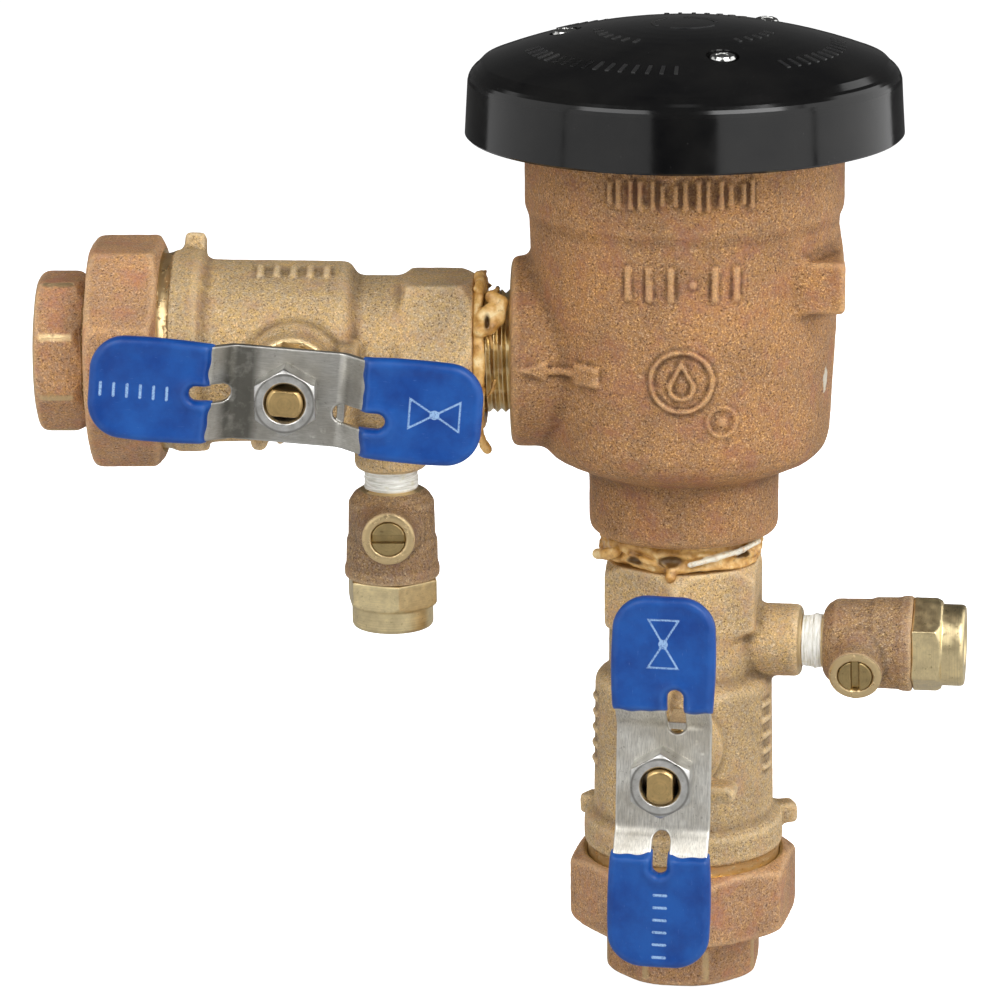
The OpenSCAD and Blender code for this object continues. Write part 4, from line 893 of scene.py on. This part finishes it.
for kind, V, lo, hi in (("inlet", INLET, (-26, -26, 116.2), (26, 26, 127.2)), ("outlet", OUTLET, (-24, -24, 117.6), (28, 24, 129.0))):
    p, q = volume(compound_field(kind), lo, hi, 0.34, 2)
    node = kind + "_thread_sealant"
    n = normals(p, q)
    p = p + n * (0.05 * fbm(p, 0.9, 3, 2))[:, None]
    # painted shade in the pockets, and on the outlet in patches next to the thread
    deep = np.zeros(len(p))
    for c, e in POCKETS[kind]: deep = np.maximum(deep, smooth(0.7, -0.3, ball_at(p[:, 0], p[:, 1], p[:, 2], c, e)))
    if kind == "outlet": deep = np.maximum(deep, 0.9 * smooth(0.15, 0.55, vnoise(p, 0.30, 8)) * smooth(19.0, 17.8, np.hypot(p[:, 0], p[:, 1])))
    tail = np.full(len(p), 9.0)
    for A, B, w in chain(TAPE_TAIL[kind], 0.8): tail = np.minimum(tail, capsule(p[:, 0], p[:, 1], p[:, 2], A, B, w))
    ob = make_object(kind + "_compound", to_world(p, V), q, {"deep": deep, "pale": 0.85 * smooth(0.45, 0.0, tail)})
    decimate(ob, 60000)
    stand_for(ob, node, compound("sealant_" + kind, 3.0 if kind == "inlet" else 17.0))

# ---------------------------------------------------------------- tape wound on the test cocks' threads
def tape(side, V, turn, seed):
    C = cock_m(V, turn)
    rng = np.random.default_rng(seed)
    th = np.linspace(0, 2 * np.pi, 160, endpoint=False)
    zs = np.linspace(33.02, 38.78, 60)
    zz, tt = np.meshgrid(zs, th, indexing="ij")
    lay = 0.0
    for k in range(7):
        z0 = 33.4 + rng.uniform(0, 4.6); sl = rng.uniform(-0.25, 0.25); w = rng.uniform(0.7, 1.6)
        lay = lay + rng.uniform(0.05, 0.13) * smooth(w, w - 0.25, np.abs(zz - z0 - sl * np.sin(tt + rng.uniform(0, 6))))
    rr = 7.02 + lay + 0.07 * np.sin(zz * 5.2) + 0.05 * np.sin(tt * 3 + zz)
    rr = np.where((zz < zs[1]) | (zz > zs[-2]), 6.86, rr)
    P = np.stack([rr * np.cos(tt), rr * np.sin(tt), zz], -1).reshape(-1, 3)
    ri = np.full_like(rr, 6.84)
    Pi = np.stack([ri * np.cos(tt), ri * np.sin(tt), zz], -1).reshape(-1, 3)
    n, m = rr.shape
    idx = np.arange(n * m).reshape(n, m); a, b = idx[:-1], idx[1:]
    a2, b2 = np.roll(a, -1, 1), np.roll(b, -1, 1)
    k = n * m
    e0, e1 = idx[0], idx[-1]
    Q = np.concatenate([np.stack([a, a2, b2, b], -1).reshape(-1, 4), np.stack([a + k, b + k, b2 + k, a2 + k], -1).reshape(-1, 4),
                        np.stack([e0, e0 + k, np.roll(e0, -1) + k, np.roll(e0, -1)], -1), np.stack([e1, np.roll(e1, -1), np.roll(e1, -1) + k, e1 + k], -1)])
    ob = make_object(side + "_tape_wound", to_world(np.concatenate([P, Pi]), C), Q)
    stand_for(ob, side + "_cock_tape", ptfe_tape("tape_" + side, C))
tape("inlet", INLET, 16.0, 5)
tape("outlet", OUTLET, 0.0, 9)

# ---------------------------------------------------------------- raised marks on the canopy: plain bars and rings
def dome_z(r): return 256.3 + 10.1 * (1 - (r / 54.5) ** 2.1)
def canopy_marks():
    pts, quads, off = [], [], 0
    def patch(fn_xy, nu, nv, height):
        """A thin raised pad on the dome with sloped sides: fn_xy maps (s, t) in [0, 1] to the plan."""
        nonlocal off
        s = np.concatenate([[0, 0.0], np.linspace(0.0, 1.0, nu), [1.0, 1]])
        t = np.concatenate([[0, 0.0], np.linspace(0.0, 1.0, nv), [1.0, 1]])
        ss, tt = np.meshgrid(s, t, indexing="ij")
        x, y = fn_xy(ss, tt)
        r = np.hypot(x, y)
        z = np.minimum(dome_z(r) + height, CAD_HI[2] * 1000 - 0.02)
        edge = np.zeros_like(z, bool); edge[0] = edge[-1] = True; edge[:, 0] = edge[:, -1] = True
        z = np.where(edge, dome_z(r) - 0.3, z)
        n, m = z.shape
        idx = np.arange(n * m).reshape(n, m) + off
        pts.append(np.stack([x, y, z], -1).reshape(-1, 3))
        quads.append(np.stack([idx[:-1, :-1], idx[1:, :-1], idx[1:, 1:], idx[:-1, 1:]], -1).reshape(-1, 4))
        off += n * m
    rad = math.radians
    def arc_bar(r0, r1, a0, a1, nu=2, nv=10):
        patch(lambda s, t: ((r0 + (r1 - r0) * s) * np.cos(rad(a0) + rad(a1 - a0) * t), (r0 + (r1 - r0) * s) * np.sin(rad(a0) + rad(a1 - a0) * t)), nu, nv, 0.30)
    # groups of upright bars between the screws, and a broken inner ring
    for c, half in ((-118, 26), (-26, 26), (5, 0), (90, 20), (128, 18), (212, 20)):
        for k in range(-(half // 5), half // 5 + 1):
            a = c + k * 5.0
            arc_bar(39.2, 43.4, a - 0.7, a + 0.7, 2, 3)
    for c, half in ((-150, 30), (-35, 25), (75, 30)):
        for k in range(-(half // 9), half // 9 + 1):
            a = c + k * 9.0
            arc_bar(22.0, 24.6, a - 1.1, a + 1.1, 2, 3)
    for k in range(3):
        arc_bar(8.0, 9.0, k * 120 + 5, k * 120 + 92, 2, 16)
    ob = make_object("canopy_raised_marks", np.concatenate(pts), np.concatenate(quads), None, False)
    ob.data.materials.append(BLACK_WORN)
    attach(ob, "housing")
canopy_marks()

# ---------------------------------------------------------------- stage, light, camera
def stage():
    s = 6.0
    me = bpy.data.meshes.new("floor")
    n = 24
    xs = np.linspace(-s, s, n)
    vx, vy = np.meshgrid(xs, xs, indexing="ij")
    me.from_pydata([(float(a), float(b), 0.0) for a, b in zip(vx.ravel(), vy.ravel())], [],
                   [(i * n + j, (i + 1) * n + j, (i + 1) * n + j + 1, i * n + j + 1) for i in range(n - 1) for j in range(n - 1)])
    floor = bpy.data.objects.new("floor", me)
    floor.location.z = -0.0006
    COL.objects.link(floor)
    m = Mat("floor_paper", Roughness=0.9, Specular_IOR_Level=0.05)
    nz = m.noise(0.02, 2.0, 0.5)
    lp = m.t.nodes.new("ShaderNodeLightPath")
    paper = m.mix(nz, (0.86, 0.86, 0.86), (0.90, 0.90, 0.90))
    m.into("Base Color", m.mix(lp.outputs["Is Glossy Ray"], paper, (FLOOR_DARK, FLOOR_DARK, FLOOR_DARK)))
    m.set("Emission Color", (1.0, 1.0, 1.0))
    m.into("Emission Strength", m.math("MULTIPLY", lp.outputs["Is Camera Ray"], FLOOR_GLOW))
    me.materials.append(m.m)

    w = bpy.data.worlds.new("studio"); w.use_nodes = True
    bpy.context.scene.world = w
    t = w.node_tree; t.nodes.clear()
    out = t.nodes.new("ShaderNodeOutputWorld")
    bg = t.nodes.new("ShaderNodeBackground"); bg.inputs[0].default_value = (1, 1, 1, 1)
    tc = t.nodes.new("ShaderNodeTexCoord")
    sep = t.nodes.new("ShaderNodeSeparateXYZ"); t.links.new(tc.outputs["Generated"], sep.inputs[0])
    rmp = t.nodes.new("ShaderNodeValToRGB")
    el = rmp.color_ramp.elements
    for e, (p, c) in zip([el[0], el[1], el.new(0.5), el.new(0.5)], ((0.0, WORLD[0]), (0.28, WORLD[1]), (0.5, WORLD[2]), (1.0, WORLD[3]))):
        e.position = p; e.color = (c, c, c, 1)
    t.links.new(sep.outputs["Z"], rmp.inputs[0])
    lp = t.nodes.new("ShaderNodeLightPath")
    mx = t.nodes.new("ShaderNodeMix"); mx.data_type = "FLOAT"
    t.links.new(lp.outputs["Is Camera Ray"], mx.inputs[0])
    t.links.new(rmp.outputs[0], mx.inputs[2]); mx.inputs[3].default_value = 1.0
    t.links.new(mx.outputs[0], bg.inputs[1])
    t.links.new(bg.outputs[0], out.inputs[0])

    def area(name, loc, aim, sx, sy, power, col=(1, 1, 1)):
        d = bpy.data.lights.new(name, "AREA")
        d.shape = "RECTANGLE"; d.size = sx; d.size_y = sy
        d.energy = power; d.color = col
        o = bpy.data.objects.new(name, d); COL.objects.link(o)
        o.location = loc
        o.visible_camera = False
        o.visible_glossy = "fill" not in name
        o.rotation_euler = (Vector(aim) - Vector(loc)).to_track_quat("-Z", "Y").to_euler()
    for name, loc, aim, sx, sy, power in LIGHTS: area(name, loc, aim, sx, sy, power)

def ring_at(angle, dist, z):
    """A place round the object, angle in degrees from the camera's side, positive to the right."""
    a = math.radians(angle)
    return (-0.045 + dist * math.sin(a), -dist * math.cos(a), z)
def radiance(level, sx, sy): return level * math.pi * sx * sy
WORLD = (0.10, 0.07, 0.05, 0.09)
FLOOR_GLOW = 0.95
FLOOR_DARK = 0.42
# tall soft panels standing round the front, and two boxes above
LIGHTS = [(name, ring_at(a, 0.70, 0.415), (-0.045, 0.0, 0.415), w, 0.75, radiance(lv, w, 0.75)) for name, a, w, lv in
    (("panel_left", -37, 0.62, 0.98), ("panel_far_left", -93, 0.82, 0.92), ("panel_right", 44, 0.64, 1.42), ("panel_far_right", 101, 0.82, 1.42))]
LIGHTS += [(name, ring_at(a, 0.78, 0.92), (-0.045, 0.0, 0.13), 0.6, 0.6, radiance(lv, 0.6, 0.6)) for name, a, lv in
    (("box_left", -40, 3.9), ("box_right", 40, 6.6))]
# weak fill behind, so that the back reads from other sides
LIGHTS += [(name, ring_at(a, 0.80, 0.50), (-0.045, 0.0, 0.15), 0.8, 0.8, radiance(0.8, 0.8, 0.8)) for name, a in (("fill_back_left", -150), ("fill_back_right", 150))]
stage()

def camera():
    e = math.radians(15.1)
    data = bpy.data.cameras.new("camera")
    data.sensor_width = 36.0
    data.lens = 36.0 * 5.2
    data.clip_start, data.clip_end = 0.05, 50.0
    cam = bpy.data.objects.new("camera", data)
    COL.objects.link(cam)
    loc = Vector((0.0, -1.425 * math.cos(e), 0.134 + 1.425 * math.sin(e)))
    aim = Vector((-0.0504, 0.0, 0.134))
    cam.location = loc
    cam.rotation_euler = ((aim - loc).to_track_quat("-Z", "Y").to_matrix() @ Matrix.Rotation(math.radians(-0.45), 3, "Z")).to_euler()
    bpy.context.scene.camera = cam
camera()
vs = bpy.context.scene.view_settings
vs.view_transform = "Standard"
vs.look = "None"
